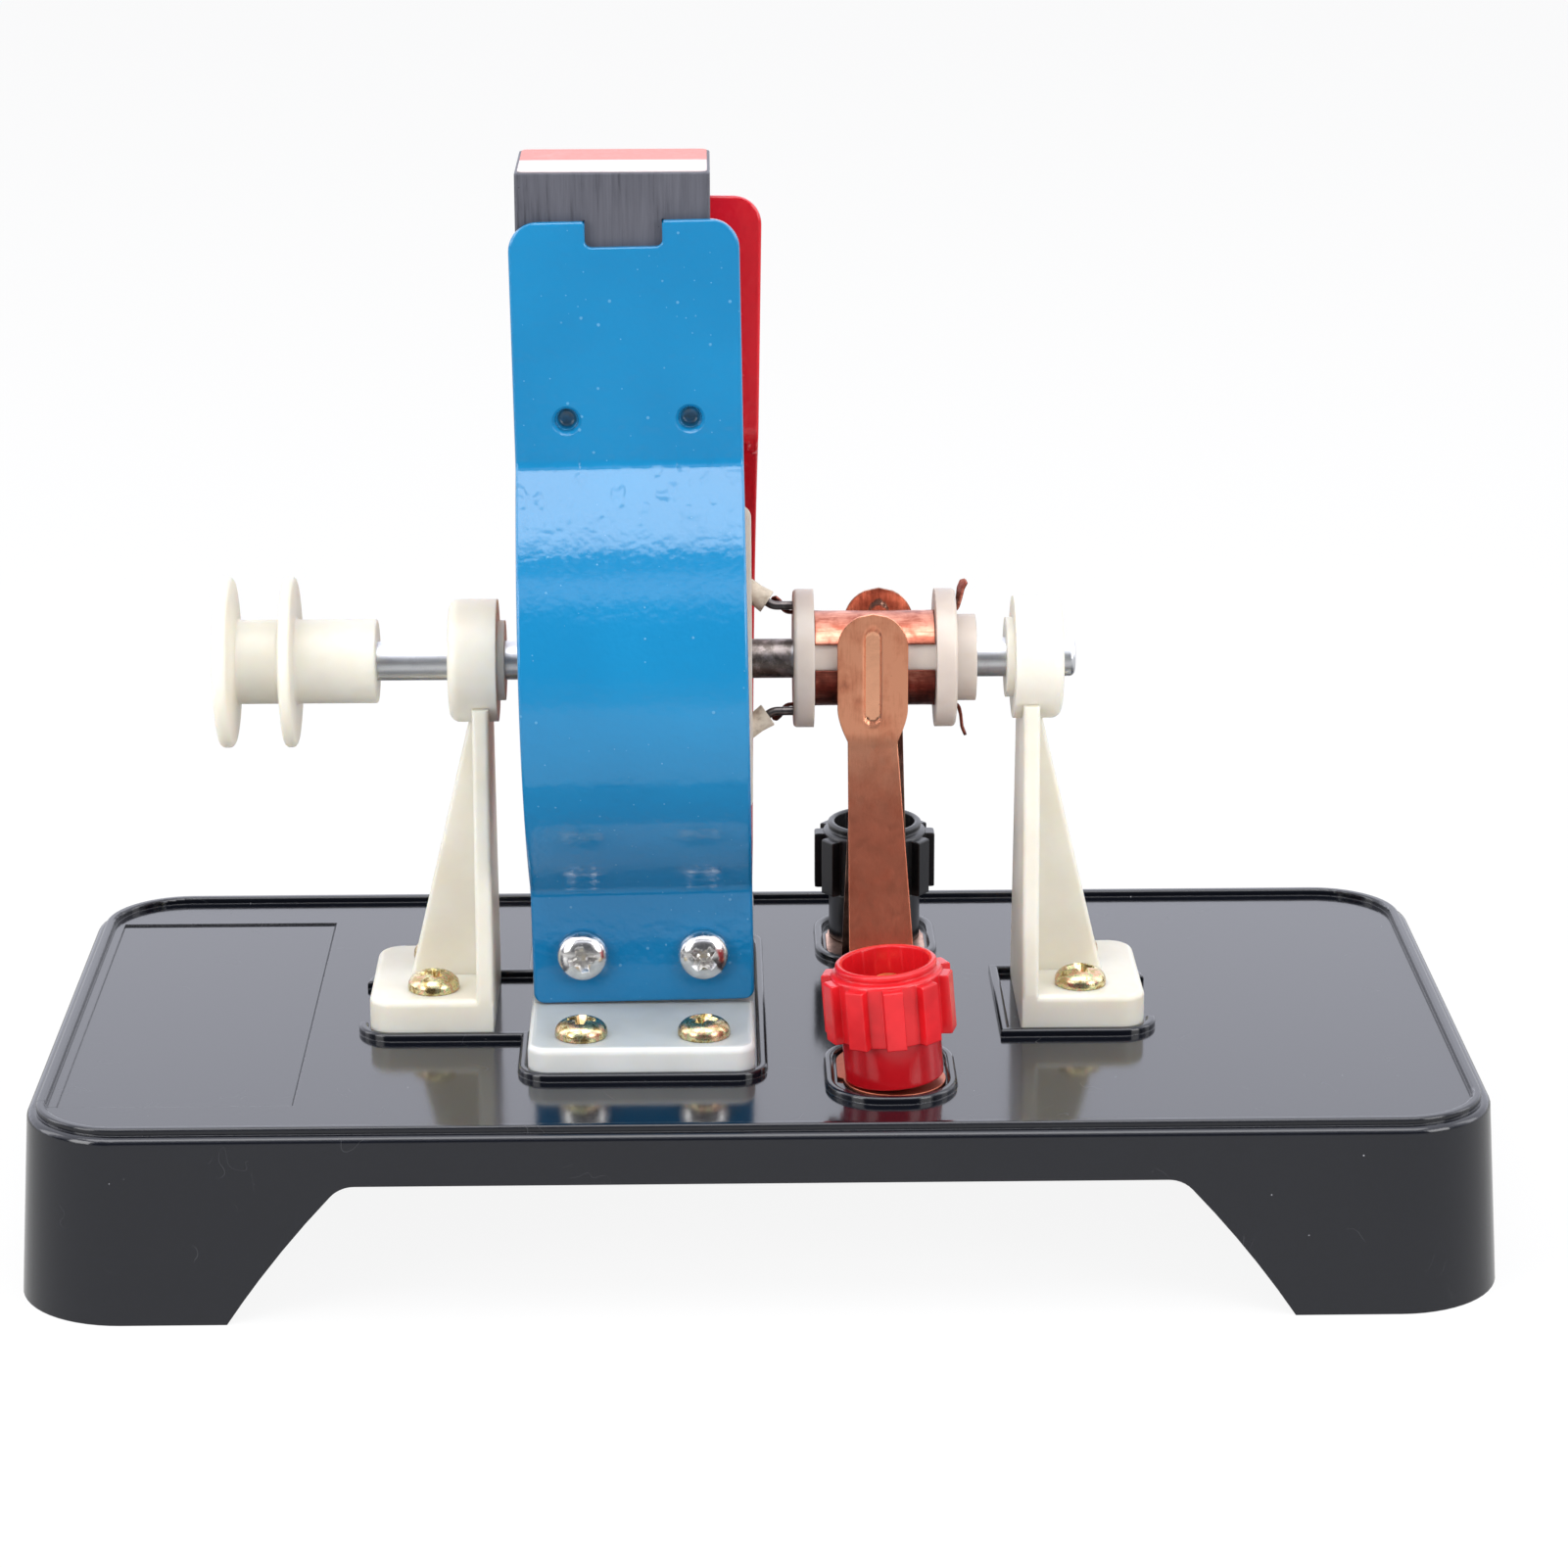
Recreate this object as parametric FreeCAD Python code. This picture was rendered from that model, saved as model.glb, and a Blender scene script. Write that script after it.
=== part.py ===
"""Demonstration electric motor for the classroom.

Millimetres, +Z up. The origin is at the centre of the base's underside. The shaft lies along X, with the
pulley at the -X end, and the front of the motor faces -Y. One STEP file is written for each node.
"""
import FreeCAD
import Part
import math
import os

Vector = FreeCAD.Vector

X_AXIS = Vector(1, 0, 0)
Y_AXIS = Vector(0, 1, 0)
Z_AXIS = Vector(0, 0, 1)

# ---------------------------------------------------------------- base moulding
base_length = 180.0            # across the top edge
base_depth = 92.0              # across the top edge
base_height = 23.6             # floor to the flat panel that everything stands on
base_flare = 1.6               # how far each wall leans out at the floor
base_corner = 12.0             # plan radius of the top edge
base_wall = 2.4
panel_thickness = 2.4
base_edge_round = 0.8
ledge_width = 1.1              # flat strip between the wall and the raised rim
rim_width = 1.2
rim_height = 0.9
rim_round = 0.35
arch_foot_half_width = 65.1    # half width of the front and rear arch at the floor
arch_top_half_width = 51.0
arch_height = 17.4
arch_side_bulge = 0.5
arch_corner_round = 4.0
label_length = 29.0
label_depth = 70.0
label_recess = 0.25
label_rim_gap = 1.3
boss_radius = 3.6
boss_depth = 7.0
locating_rib_height = 1.0
locating_rib_thickness = 1.2
locating_rib_gap = 0.3
locating_rib_hook = 5.2        # how far a rib wraps round the outer end of a bracket foot
locating_rib_round = 0.4
locating_rib_play = 1.3        # extra room inside the right bracket's rib, towards the middle

# ---------------------------------------------------------------- shaft and bearings
shaft_height = 70.5            # shaft centre above the floor
shaft_radius = 2.5
shaft_left_end = -67.0
shaft_right_end = 40.7
shaft_end_round = 0.6
running_clearance = 0.05
seat_clearance = 0.02          # between pieces that are pressed on to the shaft

bracket_foot_inner = 33.8      # distance of the foot's inner face from the middle of the base
bracket_foot_length = 15.9
bracket_foot_half_depth = 11.3
bracket_foot_height = 5.0
bracket_foot_corner = 3.2
bracket_foot_edge_round = 0.9
bracket_plate_thickness = 2.1
bracket_plate_top_half_depth = 7.1
bracket_gusset_thickness = 2.2
bracket_gusset_reach = 8.9     # the gusset's foot beyond the plate's outer face
bracket_gusset_top_reach = 0.6
bracket_plate_round = 0.5
barrel_radius = 7.8
barrel_length = 6.15
barrel_overhang = 1.05         # barrel end inside the plate's inner face
barrel_edge_round = 1.3
barrel_boss_radius = 5.1
barrel_boss_length = 0.95
barrel_bore_chamfer = 0.5

# ---------------------------------------------------------------- screws
screw_shank_radius = 1.7
screw_pilot_clearance = 0.03
screw_hole_radius = 2.0
screw_head_radius = 3.3
screw_head_height = 2.3
screw_head_rim = 0.7           # straight side of the pan head
screw_length = 10.0
cross_width = 0.85
cross_span = 3.7
cross_depth = 1.2
bracket_screw_x = 7.8          # from the foot's inner face
bracket_screw_y = 6.3
field_screw_spacing = 15.4
field_screw_from_edge = 4.9

# ---------------------------------------------------------------- field magnet and pole plates
field_centre_x = -14.6
pole_plate_width = 28.2
pole_plate_thickness = 1.2
magnet_half_depth = 8.85
magnet_fit = 0.05              # between the magnet and each plate
pole_crown = 24.0              # from the shaft's axis to the outer face, at the shaft's height
pole_arc_radius = 28.5         # outer face, in the middle of the curve round the rotor
pole_arc_angle = 22.0          # degrees of that radius above and below the crown
pole_shoulder_radius = 45.0    # outer face, in the flatter rest of the curve
pole_bend_radius = 2.2         # outer face of the tight bends above and below the curve
pole_plate_top = 57.9          # above the shaft
pole_plate_floor_gap = 0.3
pole_plate_top_corner = 3.0
pole_plate_bottom_corner = 1.4
pole_notch_width = 9.4
pole_notch_depth = 3.2
pole_notch_round = 0.7
dimple_spacing = 15.2
dimple_height = 33.3           # above the shaft
dimple_radius = 1.6
dimple_depth = 1.3
dimple_wall = 0.9
plate_screw_height = 10.7      # above the panel
front_plate_lean = -0.85       # degrees, within the play of the screw holes
rear_plate_lean = 1.0
field_foot_height = 3.9
field_foot_length = 16.2       # from the plate's outer face to the foot's front edge
field_foot_left_reach = 0.25   # the feet are a little longer than the plates, towards the pulley
field_foot_corner = 2.5
field_foot_edge_round = 0.9
field_wall_thickness = 4.0
field_wall_top_gap = 1.2       # below the start of the lower bend

magnet_width = 23.8
magnet_height = 28.6
magnet_offset = -2.7           # the magnet stands a little towards the pulley
magnet_seat_gap = 0.1
magnet_edge_round = 0.35
magnet_label_thickness = 0.2

# ---------------------------------------------------------------- rotor
rotor_rest_angle = -15.5       # degrees about the shaft
former_length = 28.2
former_height = 38.6
former_thickness = 13.6
former_cheek = 1.3
former_core_inset = 4.8        # depth of the winding channel
former_core_wall = 2.0
former_boss_radius = 3.9
former_corner = 1.6
winding_inset = 0.6            # how far the winding stays below the cheeks' edges
winding_gap = 0.1

commutator_left = 4.75
commutator_flange = 2.6
commutator_flange_radius = 8.8
commutator_body = 15.4         # between the flanges
commutator_core_radius = 5.5
commutator_hub = 2.6
commutator_edge_round = 0.5
segment_thickness = 0.5
segment_gap_angle = 32.4       # degrees of bare core between the segments
segment_end_gap = 0.1
segment_seat = 0.03
tab_width = 1.6
tab_thickness = 0.5
tab_bend_radius = 0.7
tab_slot_clearance = 0.1
right_tab_reach = 0.75
right_tab_tip_x = 1.4
right_tab_tip_radius = 10.0
left_tab_reach = 1.0
left_tab_tip_x = 2.0
left_tab_tip_radius = 7.7

lead_wire_radius = 0.62
lead_wire_height = 6.7         # from the shaft centre, where it meets the commutator
lead_wire_offset = 1.55        # beside the tab
lead_bend_radius = 2.0
lead_wire_tail = 1.0           # how far the wire is drawn back, before it is cut flat at the winding
sleeve_outer_radius = 1.5
sleeve_bore_clearance = 0.04
sleeve_start_height = 8.9
sleeve_end_x = 2.2             # where the sleeved lead ends, from the middle of the base
sleeve_share = 0.8             # how much of the slanted run the sleeve covers

pulley_hub_end = -48.0
pulley_hub_radius = 5.35
pulley_right_flange_face = -58.35
pulley_right_rim = 1.4
pulley_left_rim = 1.85
pulley_flange_radius = 10.9
pulley_groove_width = 5.2      # at the core
pulley_groove_slope = 0.7      # how much wider the groove is at each rim
pulley_rim_round = 0.55

# ---------------------------------------------------------------- brushes and terminals
terminal_x = 16.3
terminal_edge_distance = 18.1  # from the base's front or rear top edge
terminal_rim_half_length = 8.2
terminal_rim_edge_distance = 9.4
terminal_rim_inner_end = 14.9  # from the shaft's plane
terminal_rim_corner = 7.0
terminal_rim_wall = 1.15
terminal_rim_height = 0.95
front_terminal_lean = -4.6     # degrees, within the play of the stud in its hole
front_terminal_shift = 0.65    # of the leaning stud, in the same hole
stud_panel_hole_radius = 2.9   # through the panel and the brush pad
stud_radius = 2.0
stud_top = 13.7                # above the panel
stud_flange_radius = 4.0
stud_flange_thickness = 1.5
stud_hole_clearance = 0.15
stud_tail = 9.0                # below the panel's top face
collar_radius = 6.15
collar_height = 7.3            # above the panel
collar_edge_round = 0.4
knob_bottom = 6.7              # above the panel
knob_rib_top = 14.3
knob_top = 15.9
knob_root_radius = 6.95
knob_rib_radius = 8.2
knob_rib_count = 10
knob_rib_width = 2.5
rear_knob_rise = 0.7           # the rear knob is about one turn looser than the front one
front_knob_turn = 3.5          # degrees, of a rib from the front
knob_lip_radius = 6.3
knob_lip_round = 0.6
knob_mouth_radius = 5.35
knob_floor = 10.9              # above the panel
knob_skirt_depth = 1.7
knob_skirt_clearance = 0.3
washer_radius = 4.8
washer_thickness = 0.6
washer_gap = 0.1
nut_across_flats = 7.0
nut_thickness = 3.2
lock_washer_radius = 3.9
lock_washer_thickness = 0.9

brush_thickness = 0.4
brush_contact_gap = 0.12       # between the pressed ridge and the copper segments
brush_groove_width = 2.3
brush_groove_length = 12.8
brush_groove_depth = 0.3
brush_groove_centre = -0.7     # from the shaft's height
brush_head_top = 7.5           # above the shaft
brush_head_width = 8.9
brush_head_bottom = -6.0       # below here the head narrows
brush_neck = -9.2
brush_neck_width = 6.3
brush_foot_width = 9.0         # where the leaf leaves the panel
brush_foot_shift = -0.25       # the leaf's foot from the terminal's centre line
brush_pad_radius = 6.4
brush_tongue_half_width = 6.65
brush_tongue_gap = 0.3         # between the tongue's end and the terminal rim
brush_bend_y = 9.9             # the bend's distance from the terminal, towards the commutator
brush_bend_radius = 0.8
brush_neck_bend_radius = 8.0
front_brush_shift = -1.6       # the head's centre line from the terminal's
rear_brush_shift = -0.4
front_pad_shift = 0.5          # the front brush's pad from the terminal's centre line


# ---------------------------------------------------------------- shared helpers
def box(x_low, x_high, y_low, y_high, z_low, z_high):
    """A box between two opposite corners."""
    corner = Vector(x_low, y_low, z_low)
    return Part.makeBox(x_high - x_low, y_high - y_low, z_high - z_low, corner)


def rod(x_low, x_high, radius):
    """A round bar on the shaft's axis."""
    return Part.makeCylinder(radius, x_high - x_low, Vector(x_low, 0, shaft_height), X_AXIS)


def pillar(x, y, z_low, z_high, radius):
    """An upright round bar."""
    return Part.makeCylinder(radius, z_high - z_low, Vector(x, y, z_low), Z_AXIS)


def rounded_outline(half_length, half_depth, corner, z, x=0.0, y=0.0):
    """A rounded rectangle, as a wire at height z."""
    inner_x = half_length - corner
    inner_y = half_depth - corner
    slant = corner * math.sqrt(0.5)
    edges = []
    for sign_x, sign_y, start in ((1, 1, 0), (-1, 1, 90), (-1, -1, 180), (1, -1, 270)):
        centre = Vector(x + sign_x * inner_x, y + sign_y * inner_y, z)
        begin = math.radians(start)
        first = centre + Vector(corner * math.cos(begin), corner * math.sin(begin), 0)
        middle = centre + Vector(sign_x * slant, sign_y * slant, 0)
        turn = math.radians(start + 90)
        last = centre + Vector(corner * math.cos(turn), corner * math.sin(turn), 0)
        if edges:
            edges.append(Part.makeLine(edges[-1].lastVertex(True).Point, first))
        edges.append(Part.Arc(first, middle, last).toShape())
    edges.append(Part.makeLine(edges[-1].lastVertex(True).Point, edges[0].firstVertex(True).Point))
    return Part.Wire(edges)


def rounded_block(half_length, half_depth, corner, z_low, z_high, x=0.0, y=0.0):
    """A rounded rectangle raised from z_low to z_high."""
    face = Part.Face(rounded_outline(half_length, half_depth, corner, z_low, x, y))
    return face.extrude(Vector(0, 0, z_high - z_low))


def polygon_prism(points, along):
    """A closed polygon extruded along a vector."""
    wire = Part.makePolygon(points + [points[0]])
    return Part.Face(wire).extrude(along)


def turned(points, axis_start, axis):
    """A solid of revolution from a closed profile."""
    wire = Part.makePolygon(points + [points[0]])
    return Part.Face(wire).revolve(axis_start, axis, 360)


def edges_near(shape, test):
    """The edges of a shape whose middle point passes a test."""
    return [edge for edge in shape.Edges
            if test(edge.valueAt((edge.FirstParameter + edge.LastParameter) / 2))]


def circles_at_x(shape, x, radius):
    """The circular edges round the shaft's axis at one station."""
    found = []
    for edge in shape.Edges:
        if not isinstance(edge.Curve, Part.Circle):
            continue
        centre = edge.Curve.Center
        if abs(centre.x - x) < 0.01 and abs(edge.Curve.Radius - radius) < 0.01:
            found.append(edge)
    return found


def mirrored_x(shape):
    """The mirror image across the YZ plane."""
    return shape.mirror(Vector(0, 0, 0), X_AXIS)


def mirrored_y(shape):
    """The mirror image across the XZ plane."""
    return shape.mirror(Vector(0, 0, 0), Y_AXIS)


def pan_screw(position, axis, length):
    """A pan-head cross-recess screw; position is under the head, and axis points out of the head."""
    crown = screw_head_height - screw_head_rim
    dome_radius = (screw_head_radius ** 2 + crown ** 2) / (2 * crown)
    dome = Part.makeSphere(dome_radius, Vector(0, 0, screw_head_height - dome_radius))
    head = Part.makeCylinder(screw_head_radius, screw_head_height).common(dome)
    for turn in (0, 90):
        slot = box(-cross_span / 2, cross_span / 2, -cross_width / 2, cross_width / 2,
                   screw_head_height - cross_depth, screw_head_height + 1)
        slot.rotate(Vector(0, 0, 0), Z_AXIS, turn + 20)
        head = head.cut(slot)
    tip = screw_shank_radius
    shank = Part.makeCylinder(screw_shank_radius, length - tip, Vector(0, 0, 0), Vector(0, 0, -1))
    point = Part.makeCone(screw_shank_radius, screw_shank_radius * 0.3, tip, Vector(0, 0, tip - length),
                          Vector(0, 0, -1))
    screw = head.fuse([shank, point]).removeSplitter()
    turn = FreeCAD.Rotation(Z_AXIS, axis)
    screw.Placement = FreeCAD.Placement(position, turn)
    return screw


def band(points, radii, thickness, along):
    """A strip of even thickness that follows points with a rounded bend at each inner one.

    The points lie in a plane square to the vector along, and the strip is extruded by that vector.
    """
    normal = Vector(along).normalize()
    sides = []
    for offset in (thickness / 2, -thickness / 2):
        edges = []
        here = points[0] + side_step(points[0], points[1], normal, offset)
        for index, radius in enumerate(radii, start=1):
            before = (points[index] - points[index - 1]).normalize()
            after = (points[index + 1] - points[index]).normalize()
            turn = before.getAngle(after)
            reach = radius * math.tan(turn / 2)
            start = points[index] - before * reach
            end = points[index] + after * reach
            side = math.copysign(1.0, normal.cross(before).dot(after))
            centre = start + normal.cross(before) * (side * radius)
            bisector = (points[index] - centre).normalize()
            bend_radius = radius - side * offset
            first = centre + (start - centre).normalize() * bend_radius
            last = centre + (end - centre).normalize() * bend_radius
            edges.append(Part.makeLine(here, first))
            edges.append(Part.Arc(first, centre + bisector * bend_radius, last).toShape())
            here = last
        finish = points[-1] + side_step(points[-2], points[-1], normal, offset)
        edges.append(Part.makeLine(here, finish))
        sides.append(edges)
    left, right = sides
    cap_start = Part.makeLine(right[0].firstVertex(True).Point, left[0].firstVertex(True).Point)
    cap_end = Part.makeLine(left[-1].lastVertex(True).Point, right[-1].lastVertex(True).Point)
    wire = Part.Wire(Part.__sortEdges__(left + right + [cap_start, cap_end]))
    return Part.Face(wire).extrude(along)


def side_step(start, end, normal, offset):
    """The step to the left of a run from start to end."""
    return normal.cross((end - start).normalize()) * offset


def bent_rod(points, bend_radius, radius):
    """A round rod that follows three points with one bend."""
    before = (points[1] - points[0]).normalize()
    after = (points[2] - points[1]).normalize()
    turn = before.getAngle(after)
    reach = bend_radius * math.tan(turn / 2)
    start = points[1] - before * reach
    end = points[1] + after * reach
    middle_direction = (after - before).normalize()
    centre = points[1] + middle_direction * (bend_radius / math.cos(turn / 2))
    middle = centre - middle_direction * bend_radius
    path = Part.Wire([Part.makeLine(points[0], start), Part.Arc(start, middle, end).toShape(),
                      Part.makeLine(end, points[2])])
    circle = Part.Wire(Part.makeCircle(radius, points[0], before))
    return path.makePipeShell([circle], True, False)


# ---------------------------------------------------------------- places worked out from the sizes
panel = base_height
field_foot_front_y = -(magnet_half_depth + magnet_fit + pole_plate_thickness + field_foot_length)
field_foot_screw_y = field_foot_front_y + field_screw_from_edge
plate_inner_y = magnet_half_depth + magnet_fit
plate_outer_y = plate_inner_y + pole_plate_thickness
bend_centre_y = plate_outer_y + pole_bend_radius
arc_centre_y = pole_crown - pole_arc_radius
arc_turn = math.radians(pole_arc_angle)
shoulder_centre_y = arc_centre_y + (pole_arc_radius - pole_shoulder_radius) * math.cos(arc_turn)
shoulder_centre_z = (pole_arc_radius - pole_shoulder_radius) * math.sin(arc_turn)
bend_centre_z = shoulder_centre_z + math.sqrt((pole_shoulder_radius + pole_bend_radius) ** 2
                                              - (bend_centre_y - shoulder_centre_y) ** 2)
plate_bottom = panel + field_foot_height + pole_plate_floor_gap
plate_screw_z = panel + plate_screw_height
screw_xs = [field_centre_x - field_screw_spacing / 2, field_centre_x + field_screw_spacing / 2]
bracket_screw_places = [(sign_x * (bracket_foot_inner + bracket_screw_x), sign_y * bracket_screw_y)
                        for sign_x in (-1, 1) for sign_y in (-1, 1)]
field_screw_places = [(x, sign_y * field_foot_screw_y) for x in screw_xs for sign_y in (1, -1)]
segment_inner_radius = commutator_core_radius + segment_seat
segment_outer_radius = segment_inner_radius + segment_thickness
commutator_body_left = commutator_left + commutator_flange
commutator_body_right = commutator_body_left + commutator_body
commutator_right = commutator_body_right + commutator_flange
winding_face_x = field_centre_x + former_length / 2 - winding_inset
terminal_y = base_depth / 2 - terminal_edge_distance
terminal_rim_outer_end = base_depth / 2 - terminal_rim_edge_distance
terminal_pivot_z = panel - panel_thickness / 2
terminal_lean_sine = math.sin(math.radians(abs(front_terminal_lean)))
terminal_lean_cosine = math.cos(math.radians(front_terminal_lean))
rear_collar_bottom = panel + brush_thickness
front_collar_bottom = terminal_pivot_z + (rear_collar_bottom - terminal_pivot_z
                                          + collar_radius * terminal_lean_sine) / terminal_lean_cosine
rear_washer_top = panel - panel_thickness
front_washer_top = terminal_pivot_z + (rear_washer_top - terminal_pivot_z
                                       - lock_washer_radius * terminal_lean_sine) / terminal_lean_cosine


# ---------------------------------------------------------------- base
def base_outline(inset, z, lean):
    """The base's plan outline at height z, drawn in from the top edge by inset and out by lean."""
    half_length = base_length / 2 - inset + lean
    half_depth = base_depth / 2 - inset + lean
    return rounded_outline(half_length, half_depth, base_corner - inset + lean, z)


def arch_cutter():
    """The opening under the front and rear skirts, as a bar along Y."""
    side_x = (arch_foot_half_width + arch_top_half_width) / 2
    chord = Vector(arch_top_half_width - arch_foot_half_width, 0, arch_height).normalize()
    bulge = Vector(chord.z, 0, -chord.x) * arch_side_bulge
    reach = base_depth
    edges = []
    right_foot = Vector(arch_foot_half_width, -reach, 0)
    right_middle = Vector(side_x, -reach, arch_height / 2) + bulge
    right_top = Vector(arch_top_half_width, -reach, arch_height)
    left_top = Vector(-right_top.x, right_top.y, right_top.z)
    left_middle = Vector(-right_middle.x, right_middle.y, right_middle.z)
    left_foot = Vector(-right_foot.x, right_foot.y, right_foot.z)
    edges.append(Part.Arc(right_foot, right_middle, right_top).toShape())
    edges.append(Part.makeLine(right_top, left_top))
    edges.append(Part.Arc(left_top, left_middle, left_foot).toShape())
    edges.append(Part.makeLine(left_foot, right_foot))
    bar = Part.Face(Part.Wire(edges)).extrude(Vector(0, 2 * reach, 0))
    corners = edges_near(bar, lambda p: abs(p.z - arch_height) < 0.01 and abs(p.y) < 1 and abs(p.x) > 10)
    return bar.makeFillet(arch_corner_round, corners)


def locating_ribs():
    """Low ribs moulded on the panel round the feet of the brackets and of the field."""
    grow = locating_rib_gap + locating_rib_thickness
    top = panel + locating_rib_height
    low = panel - 0.5
    field_half_length = pole_plate_width / 2
    foot_middle = bracket_foot_inner + bracket_foot_length / 2

    def frame(margin, z_low, z_high):
        centre = rounded_block(field_half_length + margin, margin - field_foot_front_y,
                               field_foot_corner + margin, z_low, z_high, field_centre_x)
        left = rounded_block(bracket_foot_length / 2 + margin, bracket_foot_half_depth + margin,
                             bracket_foot_corner + margin, z_low, z_high, -foot_middle)
        bridge = box(-foot_middle, field_centre_x, -bracket_foot_half_depth - margin,
                     bracket_foot_half_depth + margin, z_low, z_high)
        right = rounded_block(bracket_foot_length / 2 + margin, bracket_foot_half_depth + margin,
                              bracket_foot_corner + margin, z_low, z_high, foot_middle)
        square_end = box(bracket_foot_inner - locating_rib_play - margin, foot_middle,
                         -bracket_foot_half_depth - margin, bracket_foot_half_depth + margin, z_low, z_high)
        return centre.fuse([left, bridge]), right.fuse(square_end)

    outer_joined, outer_right = frame(grow, low, top)
    inner_joined, inner_right = frame(locating_rib_gap, low - 1, top + 1)
    ribs = outer_joined.cut(inner_joined).fuse(outer_right.cut(inner_right))
    opening_half_depth = bracket_foot_half_depth + grow - locating_rib_hook
    for sign in (-1, 1):
        x_end = sign * (bracket_foot_inner + bracket_foot_length)
        gap = box(min(x_end, x_end + sign * 3), max(x_end, x_end + sign * 3),
                  -opening_half_depth, opening_half_depth, low - 1, top + 1)
        ribs = ribs.cut(gap)
    ribs = ribs.removeSplitter()
    return ribs.makeFillet(locating_rib_round, edges_near(ribs, lambda p: abs(p.z - top) < 0.01))


def terminal_rim(sign_y):
    """The raised oval rim round one terminal and the foot of its brush."""
    y = sign_y * (terminal_rim_inner_end + terminal_rim_outer_end) / 2
    half_depth = (terminal_rim_outer_end - terminal_rim_inner_end) / 2
    outer = rounded_block(terminal_rim_half_length, half_depth, terminal_rim_corner,
                          panel - 0.5, panel + terminal_rim_height, terminal_x, y)
    inner = rounded_block(terminal_rim_half_length - terminal_rim_wall, half_depth - terminal_rim_wall,
                          terminal_rim_corner - terminal_rim_wall, panel - 1, panel + terminal_rim_height + 1,
                          terminal_x, y)
    rim = outer.cut(inner)
    top = panel + terminal_rim_height
    return rim.makeFillet(locating_rib_round, edges_near(rim, lambda p: abs(p.z - top) < 0.01))


def base_shell():
    """The hollow base: flared skirts, arches, raised rim, locating ribs, terminal rims and screw bosses."""
    body = Part.makeLoft([base_outline(0, 0, base_flare), base_outline(0, base_height, 0)], True, True)
    top_edges = edges_near(body, lambda p: abs(p.z - base_height) < 0.01)
    body = body.makeFillet(base_edge_round, top_edges)
    hollow_top = base_height - panel_thickness
    hollow_lean = base_flare * panel_thickness / base_height
    body = body.cut(Part.makeLoft([base_outline(base_wall, -0.01, base_flare),
                                   base_outline(base_wall, hollow_top, hollow_lean)], True, True))
    body = body.cut(arch_cutter())
    rim = Part.Face(base_outline(ledge_width, panel - 0.5, 0)).extrude(Vector(0, 0, rim_height + 0.5))
    inside = Part.Face(base_outline(ledge_width + rim_width, panel - 1, 0))
    inside = inside.extrude(Vector(0, 0, rim_height + 2))
    rim = rim.cut(inside)
    rim = rim.makeFillet(rim_round, edges_near(rim, lambda p: abs(p.z - panel - rim_height) < 0.01))
    additions = [rim, locating_ribs(), terminal_rim(-1), terminal_rim(1)]
    for x, y in bracket_screw_places + field_screw_places:
        additions.append(pillar(x, y, hollow_top - boss_depth, hollow_top + 0.5, boss_radius))
    body = body.fuse(additions).removeSplitter()
    pilot_radius = screw_shank_radius + screw_pilot_clearance
    for x, y in bracket_screw_places + field_screw_places:
        body = body.cut(pillar(x, y, hollow_top - boss_depth + 1, panel + 3, pilot_radius))
    for sign_y in (-1, 1):
        body = body.cut(pillar(terminal_x, sign_y * terminal_y, 0, panel + 3, stud_panel_hole_radius))
    label_left = ledge_width + rim_width + label_rim_gap - base_length / 2
    label = box(label_left, label_left + label_length, -label_depth / 2, label_depth / 2,
                panel - label_recess, panel + 1)
    return body.cut(label)


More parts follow.
